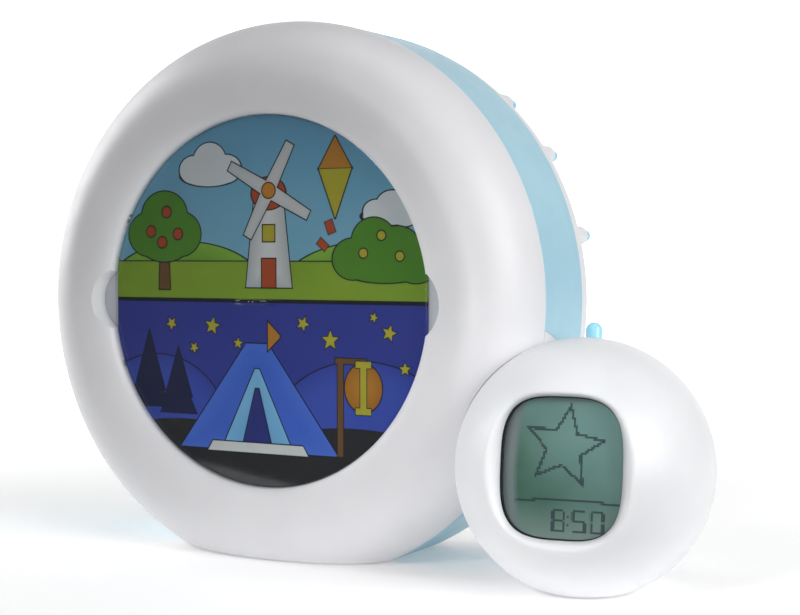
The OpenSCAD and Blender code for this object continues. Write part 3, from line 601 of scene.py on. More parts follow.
@dataclass(frozen=True)
class PrintedFilm(Finish):
    """Clear film with a screen print and a gloss laminate: flat inks with dark key lines, lit evenly."""

    inks: Inks = Inks()

    def day(self) -> list[Motif]:
        """Returns: the motifs of the upper half, a windmill in a meadow under a kite."""
        ink = self.inks
        turns = [0.5 + quarter * math.pi / 2 for quarter in range(4)]
        sails = [wedge(2 + 9 * math.sin(a), -39 - 9 * math.cos(a), 2.6, 9.5, math.degrees(a), 0.35)
                 for a in turns]
        return [
            Motif(ink.cloud, rounds((-30, -47, 6, 5), (-23, -50, 7, 6.5), (-16, -47, 6.5, 5),
                                    (-23, -45, 12, 4))),
            Motif(ink.cloud, rounds((45, -31, 5, 4), (51, -33, 6, 5), (56, -30, 5, 4), (50, -29.5, 10, 3))),
            Motif("#6C9C28", rounds((-34, -4, 34, 17), (44, -2, 38, 19)), shade="#84AE3A"),
            Motif(ink.lawn, (wedge(0, -6.6, 80, 7.4),)),
            Motif(ink.wall, (wedge(2, -21, 9.5, 16, 0, 0.38),), shade="#B4B5B8"),
            Motif(ink.red, rounds((2, -38, 7, 5.6))),
            Motif(ink.red, (wedge(2, -10, 2.8, 5),)),
            Motif(ink.yellow, (wedge(2, -24, 2.4, 2.8),)),
            Motif(ink.sail, tuple(sails), shade="#C0C0C0"),
            Motif(ink.orange, rounds((2, -39, 2.6, 2.6))),
            Motif(ink.brown, (wedge(-43, -12, 2.4, 8, 0, 0.25),)),
            Motif(ink.leaf, rounds((-50, -24, 9, 8), (-43, -31, 10, 8.5), (-36, -24, 9, 8),
                                   (-43, -22, 12, 8))),
            Motif(ink.red, rounds((-49, -25, 1.9, 1.9), (-42, -32, 1.9, 1.9), (-37, -24, 1.9, 1.9),
                                  (-44, -21, 1.9, 1.9))),
            Motif(ink.leaf, rounds((36, -15, 8, 7), (44, -21, 8.5, 8), (53, -18, 9, 8), (60, -13, 8, 6),
                                   (48, -11, 15, 4))),
            Motif(ink.yellow, rounds((40, -17, 1.5, 1.5), (47, -23, 1.5, 1.5), (54, -16, 1.5, 1.5))),
            Motif(ink.orange, (wedge(29, -51.5, 6.5, 5.5, 0, 1.0), wedge(29, -37.5, 6.5, 8.5, 180, 1.0))),
            Motif(ink.yellow, (wedge(29, -37.5, 6.4, 8.4, 180, 1.0),), line=0.25),
            Motif(ink.red, (wedge(27, -26, 2.2, 1.5, 70), wedge(24, -20, 2.0, 1.3, 40)), line=0.3),
        ]

    def night(self) -> list[Motif]:
        """Returns: the motifs of the lower half, a tent and a lantern under the stars."""
        ink = self.inks
        return [
            Motif("#303A94", (wedge(0, 40, 80, 40),), line=0.9),
            Motif("#3A4FB0", rounds((-46, 46, 30, 26), (40, 50, 38, 30)), shade="#3343A0"),
            Motif("#161A44", (wedge(-50, 22, 7, 11, 0, 1.0), wedge(-50, 30, 9, 9, 0, 1.0),
                              wedge(-37, 26, 6, 9, 0, 1.0), wedge(-37, 33, 8, 8, 0, 1.0)), line=0.3),
            Motif(ink.ground, (wedge(0, 57, 80, 11),), shade="#26262E"),
            Motif(ink.ground, rounds((-34, 49, 26, 6), (36, 50, 30, 7)), line=0.0),
            Motif("#3F65CA", (wedge(-3, 34, 33, 19, 0, 0.86),), shade="#4A70D2"),
            Motif("#6DAAD6", (wedge(-3, 38.5, 15, 14.5, 0, 0.94),), shade="#7DB8DE"),
            Motif("#222C78", (wedge(-3, 42, 6.5, 11, 0, 0.9),)),
            Motif(ink.wall, (wedge(-3, 52.0, 21, 1.7, 0, 0.1),)),
            Motif(ink.orange, (wedge(4, 12.2, 5, 2.4, 90, 0.9),)),
            Motif(ink.brown, (wedge(31, 36, 1.1, 17), wedge(35, 20, 6, 0.9)), line=0.35),
            Motif("#C07F26", rounds((40, 29, 7.2, 8.2)), shade="#A86C1E"),
            Motif(ink.star, (wedge(40, 29, 1.2, 7.6), wedge(40, 21, 3.0, 1.1), wedge(40, 37, 3.0, 1.1)),
                  line=0.3),
            Motif(ink.star, stars((-22, 9, 3.2, 10), (-40, 8.5, 2.4, 40), (16, 7.5, 2.6, 25),
                                  (27, 13, 3.4, 0), (50, 10, 2.8, 15), (-11, 15, 2.0, 5), (-30, 17, 2.0, 30),
                                  (44, 4.8, 1.7, 20), (56, 22, 2.2, 0)), line=0.3),
        ]

    def surface(self, coat: Coat) -> None:
        """Prints both halves and the line between them, as Finish.surface says."""
        place = coat.unit_place(Seat.DRUM)
        height = add_node(coat.tree, "SeparateXYZ", {0: place}).outputs[1]
        sky = coat.blend(coat.ramp(height, -65.0, -10.0), "#67A0C0", "#7DB0C6")
        painter = Painter(coat, place, sky, self.inks.line)
        for motif in self.day() + self.night():
            painter.lay(motif)
        painter.lay(Motif("#0D1218", (wedge(0, 0, 80, 0.55),), line=0.0))
        fibre = coat.between(coat.grain(14.0), 0.0, 0.06)
        coat.put({
            "Base Color": coat.blend(fibre, painter.colour, self.inks.line),
            "Roughness": 0.6,
            "Specular IOR Level": 0.2,
        })


@dataclass(frozen=True)
class LiquidCrystal(Finish):
    """Reflective liquid crystal display: grey-green cell with dark dots and painted light, grey sealed margin
    with painted shade.
    """

    dot: float = 0.62
    dark: str = "#22333A"
    # green: the cell's green at the lower left and at the top right, between which it lightens as painted
    # light, and a lighter green towards the bottom
    green: tuple[str, str, str] = ("#446C5A", "#86ADA6", "#97ABA4")
    # margin: the grey of the cell's seal and the dark of painted shade; cell and side make the margin wider
    # and darker at the left and top, as painted shade of the deep recess
    margin: tuple[str, str] = ("#7C8887", "#4C5052")
    cell: Spot = (2.6, 0.6, 18.0, 20.2)
    side: Spot = (66.0, 1.0, 80.0, 80.0)
    star: Spot = (0.4, -6.5, 12.5, 8.0)
    land: Spot = (2.0, 69.5, 90.0, 60.0)
    time_y: float = 15.9
    bar_x: float = 1.75
    bar_y: float = 1.6
    bar_half: float = 0.45

    def digit(self, name: str, x: float) -> list[Shape]:
        """Makes one digit of seven bars.

        Args:
            name: the digit.
            x: its middle.

        Returns:
            Its bars.
        """
        flat, tall = (1.6, self.bar_half), (self.bar_half, 1.5)
        side, rise = self.bar_x, self.bar_y
        bars = {"a": (0, -3.1, *flat), "b": (side, -rise, *tall), "c": (side, rise, *tall),
                "d": (0, 3.1, *flat), "e": (-side, rise, *tall), "f": (-side, -rise, *tall),
                "g": (0, 0, *flat)}
        lit = {"8": "abcdefg", "5": "afgcd", "0": "abcdef"}[name]
        return [wedge(x + bars[b][0], self.time_y + bars[b][1], *bars[b][2:]) for b in lit]

    def surface(self, coat: Coat) -> None:
        """Lays the cell, a star over a horizon, and the time, as Finish.surface says."""
        place = coat.unit_place(Seat.BALL)
        across, down, _ = add_node(coat.tree, "SeparateXYZ", {0: place}).outputs
        # Painted light: the cell's green lightens from the lower left to the top right.
        painted_light_slant = coat.ramp(coat.calc("SUBTRACT", across, down), -24.0, 30.0, interpolation_type="SMOOTHSTEP")
        cloud = coat.between(coat.grain(16.0), -0.08, 0.08)
        ground = coat.blend(coat.calc("ADD", painted_light_slant, cloud, clamp=True), *self.green[:2])
        ground = coat.blend(coat.ramp(down, 10.0, 22.0, high=0.7), ground, self.green[2])
        bare = Painter(coat, place, ground, self.dark)
        # The grey margin outside the cell is partly its seal and partly painted shade: wider and darker at
        # the left and top, where the deep recess shades the display.
        outside = coat.calc("MAXIMUM", bare.distance(wedge(*self.cell)), bare.reach(rounds(self.side)))
        margin_with_painted_shade = coat.calc("MULTIPLY", outside, 0.6, clamp=True)
        painted_deep_shade = coat.calc("MULTIPLY_ADD", outside, 0.4, -1.1, clamp=True)
        ground = coat.blend(painted_deep_shade, coat.blend(margin_with_painted_shade, ground, self.margin[0]), self.margin[1])
        shown = coat.calc("SUBTRACT", 0.82, coat.calc("MULTIPLY", margin_with_painted_shade, 0.8))
        cover = coat.calc("MULTIPLY", self.signs(coat, place, ground), shown)
        coat.put({
            "Base Color": coat.blend(cover, ground, self.dark),
            "Roughness": 0.35,
            "Specular IOR Level": 0.3,
        })

    def signs(self, coat: Coat, place: Socket, ground: Socket) -> Socket:
        """Lays out the signs in square dots.

        Args:
            coat: the shader in the making.
            place: the place on the display, in millimetres.
            ground: the colour of the cell.

        Returns:
            The cover of the dark dots.
        """
        step = (self.dot, self.dot, self.dot)
        square = add_node(coat.tree, "VectorMath", {0: place, 1: step}, operation="SNAP").outputs[0]
        middle = {0: square, 1: (self.dot / 2, self.dot / 2, 0.0)}
        dots = add_node(coat.tree, "VectorMath", middle, operation="ADD").outputs[0]
        painter = Painter(coat, dots, ground, self.dark, soft=0.05)
        colon = [wedge(2.3, self.time_y + side * 1.3, 0.35, 0.35) for side in (-1, 1)]
        time = [*self.digit("8", -0.8), *colon, *self.digit("5", 5.6), *self.digit("0", 11.2)]
        star = painter.line(stars(self.star), 0.42)
        horizon = painter.line(rounds(self.land), 0.35)
        return painter.mask(coat.calc("MINIMUM", painter.reach(time), coat.calc("MINIMUM", star, horizon)))


# ABS moulded in a spark-eroded die: milky white with a soft, wide highlight
WHITE_ABS = Moulded("white ABS, moulded", "shell_white", "#E2E2E5", "#DEDEE1", 0.42, 0.6, 0.003,
                    glow=0.12, glow_reach=2.0)
# ABS with more light spread in it, which flattens the small clock's shading; its base colour, paler than the
# case's white, is painted light that makes the shells look brighter than the case
PAINTED_BRIGHT_MILKY_ABS = Moulded("milky white ABS, moulded", "shell_white", "#F6F6F8", "#F2F2F5", 0.38, 0.6, 0.003,
                    glow=0.6, glow_reach=7.0)
# ABS tinted in the mass: pale blue, a little deeper than the white under the same gloss
BLUE_ABS = Moulded("pale blue ABS, moulded", "band_blue", "#A3CDDD", "#9DC8D9", 0.38, 0.6, 0.003,
                   glow=0.1, glow_reach=2.5)
# Polystyrene of the inner parts: plain white, glossier and thinner looking
WHITE_PS = Moulded("white polystyrene, moulded", "inner_white", "#E6E7E4", "#DDDEDB", 0.5, 0.8, 0.01)
# Nylon and ABS in black: small parts with an even, dull face
BLACK_PLASTIC = Moulded("black nylon, moulded", "black_plastic", "#1B1C1E", "#242527", 0.5, 0.3, 0.01)
# Silicone rubber: dark and dull, with a dusty grain
RUBBER = Moulded("grey silicone rubber, moulded", "rubber", "#2E3134", "#3A3D40", 0.75, 0.4, 0.03)
# Ethylene foam: almost black and quite matt
GASKET = Moulded("black foam gasket, cut", "gasket", "#121414", "#1C1E1E", 0.85, 0.3, 0.05)
# Opal acrylic: frosted grey-white with light spread inside it
DIFFUSER = Moulded("opal acrylic, frosted", "diffuser", "#CACED4", "#C2C7CE", 0.6, 0.4, 0.01, glow=0.4,
                   glow_reach=4.0)
# Polycarbonate tinted in the mass: clear blue keys that glow at their tips
BLUE_PC = Moulded("clear blue polycarbonate, moulded", "clear_blue", "#A6DDF4", "#8FD0EC", 0.12, 0.8,
                  0.002, glow=0.7, glow_reach=5.0)
# Acrylic sheet: polished, with a faint cool rim
ACRYLIC = Clear("clear acrylic, polished", "clear_cover", "#F6FAFB")
# Zinc-plated steel: bright screws and springs with fine tool lines
STEEL = Metal("zinc-plated steel, drawn", "steel", "#C2C5C8", "#9FA3A8", 0.3)
# Gold flash over nickel: contact pins
GOLD = Metal("gold-plated brass, turned", "gold", "#E2B95B", "#C99A3F", 0.25)
# Sintered ferrite: charcoal with a ground face
FERRITE = Moulded("sintered ferrite, ground", "magnet", "#3A3B3E", "#4A4B4F", 0.55, 0.6, 0.02)
# Pressed paper: grey-black cone with fibres
PAPER = Banded("pressed paper cone", "cone", "#2B2A28", "#33322F", 4.0, 2, 0.8)
# Printed shrink foil round the cells
CELL_WRAP = Banded("printed foil on battery cells", "battery_wrap", "#2F6AA8", "#D8DADC", 30.0, 0, 0.3)
# Circuit boards: green mask for the logic and white mask for the lamps
GREEN_BOARD = Board("green solder mask on glass fibre", "board", "#2B6A48", "#3D8A5F")
WHITE_BOARD = Board("white solder mask on aluminium", "light_board", "#E4E6E4", "#D2D6D6")
# Silicone dome of a lamp, yellow with phosphor
LAMP = Moulded("phosphor silicone, cast", "leds", "#E9DB8E", "#E2CF72", 0.2, 1.0, 0.01, glow=0.3)
# Light guide behind the display
GUIDE = Moulded("acrylic light guide, moulded", "backlight", "#DDE8C8", "#D3E0BC", 0.25, 1.0, 0.005,
                glow=0.3)
# Polyester film: inks under a gloss laminate
PRINT = PrintedFilm("screen-printed film, gloss laminated", "print")
# Two glasses with the liquid between them
DISPLAY = LiquidCrystal("liquid crystal display, reflective", "screen")
# Paper roll of the studio
SWEEP_PAPER = BacklitPaper("matt white paper, backlit", "studio", "#F4F4F4", "#F8F8F8")


class Bench:
    """The modelling steps that the pieces share, each on one object in millimetres."""

    @staticmethod
    def pick(piece: Solid | None = None) -> None:
        """Deselects everything and then selects a piece, if one is given."""
        if bpy.context.object and bpy.context.object.mode != "OBJECT":
            bpy.ops.object.mode_set(mode="OBJECT")
        bpy.ops.object.select_all(action="DESELECT")
        if piece:
            piece.select_set(True)
            bpy.context.view_layer.objects.active = piece

    @staticmethod
    def named(name: str) -> Solid:
        """Returns: the primitive that was just added, under its new name."""
        piece = bpy.context.active_object
        piece.name = name
        piece.data.name = name
        return piece

    @staticmethod
    @contextmanager
    def editing(piece: Solid) -> Iterator[None]:
        """Opens a piece in edit mode, selected all over, and closes it again."""
        Bench.pick(piece)
        bpy.ops.object.mode_set(mode="EDIT")
        bpy.ops.mesh.select_all(action="SELECT")
        yield
        bpy.ops.object.mode_set(mode="OBJECT")

    @staticmethod
    def tidy(piece: Solid) -> None:
        """Merges a closed mesh's doubles and turns its faces outwards."""
        with Bench.editing(piece):
            bpy.ops.mesh.remove_doubles(threshold=0.0005)
            bpy.ops.mesh.dissolve_degenerate(threshold=0.0001)
            bpy.ops.mesh.select_all(action="SELECT")
            bpy.ops.mesh.normals_make_consistent(inside=False)

    @staticmethod
    def drawn(name: str, corners: Sequence[Sequence[float]], fill: str) -> Solid:
        """Draws a circle primitive out to an outline.

        Args:
            name: the piece's name.
            corners: the outline's corners.
            fill: Blender's name of its fill.

        Returns:
            The flat piece.
        """
        Bench.pick()
        bpy.ops.mesh.primitive_circle_add(vertices=len(corners), fill_type=fill)
        piece = Bench.named(name)
        for vertex, corner in zip(piece.data.vertices, corners):
            vertex.co = corner
        return piece

    @staticmethod
    def turned(name: str, outline: Sequence[Point], steps: int = 192) -> Solid:
        """Turns a closed section about z.

        Args:
            name: the piece's name.
            outline: the section's corners, as radius and height.
            steps: how many steps the turn has.

        Returns:
            The closed piece.
        """
        piece = Bench.drawn(name, [(radius, 0, height) for radius, height in outline], "NOTHING")
        with Bench.editing(piece):
            bpy.ops.mesh.spin(steps=steps, angle=math.tau, center=(0, 0, 0), axis=(0, 0, 1))
        Bench.tidy(piece)
        return piece

    @staticmethod
    def plate(name: str, outline: Sequence[Point], low: float, high: float) -> Solid:
        """Draws a flat outline up into a plate.

        Args:
            name: the piece's name.
            outline: the plate's corners.
            low: where it starts on z.
            high: where it ends on z.

        Returns:
            The closed piece.
        """
        piece = Bench.drawn(name, [(x, y, low) for x, y in outline], "NGON")
        with Bench.editing(piece):
            bpy.ops.mesh.extrude_region_move(TRANSFORM_OT_translate={"value": (0, 0, high - low)})
        Bench.tidy(piece)
        return piece

    @staticmethod
    def box(name: str, low: Sequence[float], high: Sequence[float]) -> Solid:
        """Returns: a box between two corners, for trimming."""
        corners = [(low[0], low[1]), (high[0], low[1]), (high[0], high[1]), (low[0], high[1])]
        return Bench.plate(name, corners, low[2], high[2])

    @staticmethod
    def ball(name: str, centre: Sequence[float], radius: float) -> Solid:
        """Returns: a fine ball, for hollowing."""
        Bench.pick()
        bpy.ops.mesh.primitive_uv_sphere_add(segments=160, ring_count=80, radius=radius, location=centre)
        piece = Bench.named(name)
        Bench.pick(piece)
        bpy.ops.object.transform_apply(location=True, rotation=True, scale=True)
        return piece

    @staticmethod
    def finish_modifier(piece: Solid, kind: str, **settings) -> None:
        """Adds a modifier and applies it.

        Args:
            piece: the piece.
            kind: Blender's name of the modifier.
            settings: the modifier's own settings.
        """
        Bench.pick(piece)
        step = piece.modifiers.new(kind.lower(), kind)
        for name, value in settings.items():
            setattr(step, name, value)
        bpy.ops.object.modifier_apply(modifier=step.name)

    @staticmethod
    def cut(piece: Solid, tool: Solid, how: str = "DIFFERENCE") -> None:
        """Cuts a piece with a tool, joins them or keeps what they share.

        Args:
            piece: the piece.
            tool: the other solid, which is used up.
            how: Blender's name of the cut.
        """
        Bench.finish_modifier(piece, "BOOLEAN", operation=how, solver="EXACT", object=tool)
        bpy.data.objects.remove(tool)

    @staticmethod
    def soften(piece: Solid, width: float, angle: float = 32.0, segments: int = 3) -> None:
        """Rounds the edges that are sharper than an angle.

        Args:
            piece: the piece.
            width: the width of the rounding, in millimetres.
            angle: the least angle of an edge, in degrees.
            segments: how many faces the rounding has.
        """
        Bench.finish_modifier(
            piece,
            "BEVEL",
            width=width,
            segments=segments,
            limit_method="ANGLE",
            angle_limit=math.radians(angle),
            use_clamp_overlap=True,
            miter_outer="MITER_ARC",
        )

    @staticmethod
    def copy_of(node: str) -> Solid:
        """Copies a CAD node and merges its loose triangles.

        Args:
            node: the node's name.

        Returns:
            The copy, in millimetres of the row frame.
        """
        source = frame["nodes"][node]
        mesh = source.data.copy()
        mesh.materials.clear()
        mesh.transform(Matrix.Scale(1 / MM, 4))
        piece = stand(node + "_moulding", mesh)
        Bench.pick(piece)
        bpy.ops.mesh.customdata_custom_splitnormals_clear()
        with Bench.editing(piece):
            bpy.ops.mesh.remove_doubles(threshold=0.001)
            bpy.ops.mesh.dissolve_limited(angle_limit=math.radians(0.4))
        return piece

    @staticmethod
    def polish(piece: Solid, angle: float = 32.0) -> None:
        """Shades a piece smoothly across the edges flatter than an angle in degrees. Flat faces stay flat."""
        Bench.pick(piece)
        bpy.ops.object.shade_smooth_by_angle(angle=math.radians(angle))
        Bench.finish_modifier(piece, "WEIGHTED_NORMAL", mode="FACE_AREA", weight=50, keep_sharp=True)

    @staticmethod
    def seat(piece: Solid, seat: Seat, finish: Finish, node: str, angle: float = 32.0) -> None:
        """Polishes a piece and puts it in its place on the object, for the CAD node that it stands for.

        Args:
            piece: the piece.
            seat: the frame that it was modelled in.
            finish: its finish.
            node: the CAD node that it stands for, whose body it rides on.
            angle: the greatest angle of an edge that it is shaded smoothly across, in degrees.
        """
        Bench.polish(piece, angle)
        piece.data.transform(seat.matrix())
        piece.data.materials.clear()
        piece.data.materials.append(finish.material())
        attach(piece, frame["nodes"][node]["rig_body"])
        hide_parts(node)
        LOG.info("%s stands for %s in %s", piece.name, node, finish.title)

    @staticmethod
    def dress(node: str, width: float, finish: Finish, angle: float = 40.0, segments: int = 2) -> None:
        """Dresses a copy of a CAD node.

        Args:
            node: the node's name.
            width: the width of its softened edges, in millimetres, or 0.
            finish: its finish.
            angle: the least angle of an edge that is softened, in degrees.
            segments: how many faces the softening has.
        """
        piece = Bench.copy_of(node)
        if width:
            Bench.soften(piece, width, angle, segments)
        Bench.seat(piece, Seat.ROW, finish, node)


def arc(centre: Point, radius: float, start: float, end: float, steps: int) -> list[Point]:
    """Draws an arc of a section.

    Args:
        centre: its middle.
        radius: its radius.
        start: its first angle, in degrees.
        end: its last angle, in degrees.
        steps: how many steps it has.

    Returns:
        Its points, both ends included.
    """
    turns = [math.radians(start + (end - start) * i / steps) for i in range(steps + 1)]
    return [(centre[0] + radius * math.cos(t), centre[1] + radius * math.sin(t)) for t in turns]


@dataclass
class Case:
    """The round case: its front ring, its blue band, its back and the cup for the small clock."""

    radius: float = 100.0
    back_radius: float = 100.5
    parting: float = 16.6
    band_back: float = 49.0
    wall: float = 2.2
    crest_r: float = 78.5
    crest_h: float = 7.1
    opening_r: float = 65.7
    lip: float = -2.0
    behind: float = 0.8
    power: float = 2 / 1.9
    notch_half: float = 10.5
    notch_depth: float = 5.5
    notch_flare: float = 0.6
    ball_room: float = 41.95
    rim_room: float = 47.15
    edge: float = 0.35
    edge_soft: float = 0.3
    edge_angle: float = 38.0
    dish_soft: float = 1.4

    def outer_curve(self, inset: float, steps: int = 44) -> list[Point]:
        """Draws the section from the parting line to the crest.

        Args:
            inset: how far it lies inside the outer face.
            steps: how many steps it has.

        Returns:
            Its points.
        """
        reach = self.radius - inset - self.crest_r
        rise = self.parting + self.crest_h - inset
        turns = [math.radians(90 * i / steps) for i in range(steps + 1)]
        return [
            (self.crest_r + reach * max(math.cos(t), 0.0) ** self.power,
             self.parting - rise * math.sin(t) ** self.power)
            for t in turns
        ]

    def inner_slope(self, inset: float, steps: int = 32) -> list[Point]:
        """Draws the section from the crest to the picture, as outer_curve does."""
        span = self.crest_r - self.opening_r - inset
        turns = [math.radians(90 * i / steps) for i in range(1, steps + 1)]
        return [
            (self.crest_r - span * math.sin(t), self.lip - (self.crest_h - inset + self.lip) * math.cos(t))
            for t in turns
        ]

    def notch(self) -> tuple[float, float]:
        """Returns: the radius of a finger notch and the distance of its middle from the axis."""
        chord = math.sqrt(self.opening_r**2 - self.notch_half**2)
        sag = self.opening_r + self.notch_depth - chord
        radius = (sag**2 + self.notch_half**2) / (2 * sag)
        return radius, self.opening_r + self.notch_depth - radius

    def notch_tool(self, grow: float, side: int) -> Solid:
        """Makes a finger notch as a solid.

        Args:
            grow: its margin.
            side: -1 for the left and 1 for the right.

        Returns:
            The solid, flaring to the front.
        """
        radius, place = self.notch()
        front = -2 * self.crest_h
        flare = [(radius + grow + self.notch_flare * (z / -self.crest_h) ** 1.4, z)
                 for z in [front * i / 12 for i in range(13)]]
        back = self.behind + 1
        tool = Bench.turned("notch", [(0, back), (radius + grow, back), *flare, (0, front)], 96)
        tool.data.transform(Matrix.Translation((side * place, 0, 0)))
        return tool

    @staticmethod
    def below(name: str, rise: float = 0.0) -> Solid:
        """Returns: all that lies below the flat foot of the case, for trimming, raised by a wall."""
        return Bench.box(name, (-PLENTY, BASE_DROP - rise, -PLENTY), (PLENTY, PLENTY, PLENTY))

    def shell(
        self, name: str, outer: list[Point], inner: list[Point], steps: int, notches: tuple[int, ...] = ()
    ) -> Solid:
        """Makes a turned shell with the flat foot of the case.

        Args:
            name: the piece's name.
            outer: the section of its outside.
            inner: the section of its hollow.
            steps: how many steps its turn has.
            notches: the sides with a finger notch, as notch_tool takes them.

        Returns:
            The shell.
        """
        piece = Bench.turned(name, outer, steps)
        Bench.cut(piece, self.below("foot"))
        room = Bench.turned("room", inner, 192)
        Bench.cut(room, self.below("floor", self.wall))
        for side in notches:
            Bench.cut(room, self.notch_tool(self.wall, side))
        Bench.cut(piece, room)
        for side in notches:
            Bench.cut(piece, self.notch_tool(0, side))
        return piece

    def dish(self, piece: Solid, radius: float) -> None:
        """Hollows a piece in the drum frame for the small clock, by a radius about the ball's middle."""
        centre = (BALL_CENTRE[0], AXIS_H - BALL_CENTRE[2], BALL_CENTRE[1] + MID_Y)
        Bench.cut(piece, Bench.ball("dish", centre, radius))

    def front_ring(self) -> None:
        """Builds the white ring with its crest, its slope to the picture and its two finger notches."""
        edge = self.edge
        rim = self.radius - edge
        outer = [(rim, self.parting), *arc((rim, self.parting - edge), edge, 90, 0, 3)]
        curve = [p for p in self.outer_curve(0) if p[1] < self.parting - 1.5 * edge]
        outer += [*curve, *self.inner_slope(0), (self.opening_r, self.parting)]
        inner = [(self.radius - self.wall, self.parting + 1), *self.outer_curve(self.wall)]
        inner += [*self.inner_slope(self.wall), (self.opening_r + self.wall, self.behind), (0, self.behind)]
        inner += [(0, self.parting + 1)]
        piece = self.shell("front_ring", outer, inner, 288, (-1, 1))
        Bench.soften(piece, self.edge_soft, self.edge_angle)
        self.dish(piece, self.ball_room)
        Bench.soften(piece, self.dish_soft, self.edge_angle, 4)
        Bench.seat(piece, Seat.DRUM, WHITE_ABS, "front_bezel")

    def band(self) -> None:
        """Builds the pale blue band between the two white shells."""
        edge = self.edge
        outer = [(0, self.parting), *arc((self.radius - edge, self.parting + edge), edge, -90, 0, 3)]
        outer += [*arc((self.back_radius - edge, self.band_back - edge), edge, 0, 90, 3), (0, self.band_back)]
        thin = self.radius - self.wall
        inner = [(0, self.parting - 1), (thin, self.parting - 1)]
        inner += [(thin + 0.5, self.band_back + 1), (0, self.band_back + 1)]
        piece = self.shell("blue_band", outer, inner, 256)
        self.dish(piece, self.rim_room)
        Bench.seat(piece, Seat.DRUM, BLUE_ABS, "body_band")

    def build(self) -> None:
        """Builds the ring and the band, and dresses the cup, the back and what stands on it."""
        self.front_ring()
        self.band()
        Bench.dress("dock_cup", 0.9, WHITE_ABS, segments=3)
        Bench.dress("rear_cover", 0.3, WHITE_ABS)
        Bench.dress("battery_door", 0.25, WHITE_ABS)
        Bench.dress("base_pad", 0.2, RUBBER)
        for node in ("upper_button", "middle_button", "lower_button"):
            Bench.dress(node, 0.0, BLUE_PC)


@dataclass
class PictureInsert:
    """The clear cover with its grip fin, the printed film behind it and the frosted panel of the case."""

    radius: float = 65.4
    flat_x: float = 64.5
    cover_t: float = 1.6
    sheet_t: float = 0.5
    fin_w: float = 15.0
    fin_reach: float = 11.0
    fin_t: float = 2.2
    panel_r: float = 74.7
    panel_z: float = 0.8
    panel_t: float = 2.0
    panel_edge: float = 0.3
    cover_soft: float = 0.25
    film_soft: float = 0.08
    film_gap: float = 0.02
    fin_soft: float = 0.7
    fin_root: float = 0.4

    def outline(self) -> list[Point]:
        """Returns: the disc's outline with its two flats."""
        ring = arc((0, 0), self.radius, 0, 360, 192)[:-1]
        return [(max(-self.flat_x, min(self.flat_x, x)), y) for x, y in ring]

    def cover(self) -> None:
        """Builds the clear cover and the fin that stands on it."""
        piece = Bench.plate("clear_cover", self.outline(), -self.cover_t, 0)
        Bench.soften(piece, self.cover_soft, PLATE_ANGLE, 2)
        half = self.fin_w / 2
        foot = -self.fin_root
        outline = [*arc((0, self.fin_reach - half), half, 0, 180, 32), (-half, foot), (half, foot)]
        fin = Bench.plate("fin", outline, -self.fin_t / 2, self.fin_t / 2)
        Bench.soften(fin, self.fin_soft, PLATE_ANGLE, 4)
        up = Matrix.Rotation(math.radians(-90), 4, "X")
        fin.data.transform(Matrix.Translation((0, 0, -self.cover_t)) @ up)
        Bench.cut(piece, fin, "UNION")
        Bench.seat(piece, Seat.DRUM, ACRYLIC, "picture_cover")

    def film(self) -> None:
        """Builds the printed film."""
        piece = Bench.plate("printed_film", self.outline(), self.film_gap, self.sheet_t)
        Bench.soften(piece, self.film_soft, PLATE_ANGLE, 1)
        Bench.seat(piece, Seat.DRUM, PRINT, "picture_sheet")

    def panel(self) -> None:
        """Builds the frosted panel that shows in the finger notches."""
        edge, reach = self.panel_edge, self.panel_r - self.panel_edge
        low, high = self.panel_z, self.panel_z + self.panel_t
        front = arc((reach, low + edge), edge, -90, 0, 2)
        back = arc((reach, high - edge), edge, 0, 90, 2)
        piece = Bench.turned("frosted_panel", [(0, low), *front, *back, (0, high)], 160)
        Bench.seat(piece, Seat.DRUM, DIFFUSER, "diffuser_panel")

    def build(self) -> None:
        """Builds the insert and the panel behind it."""
        self.cover()
        self.film()
        self.panel()


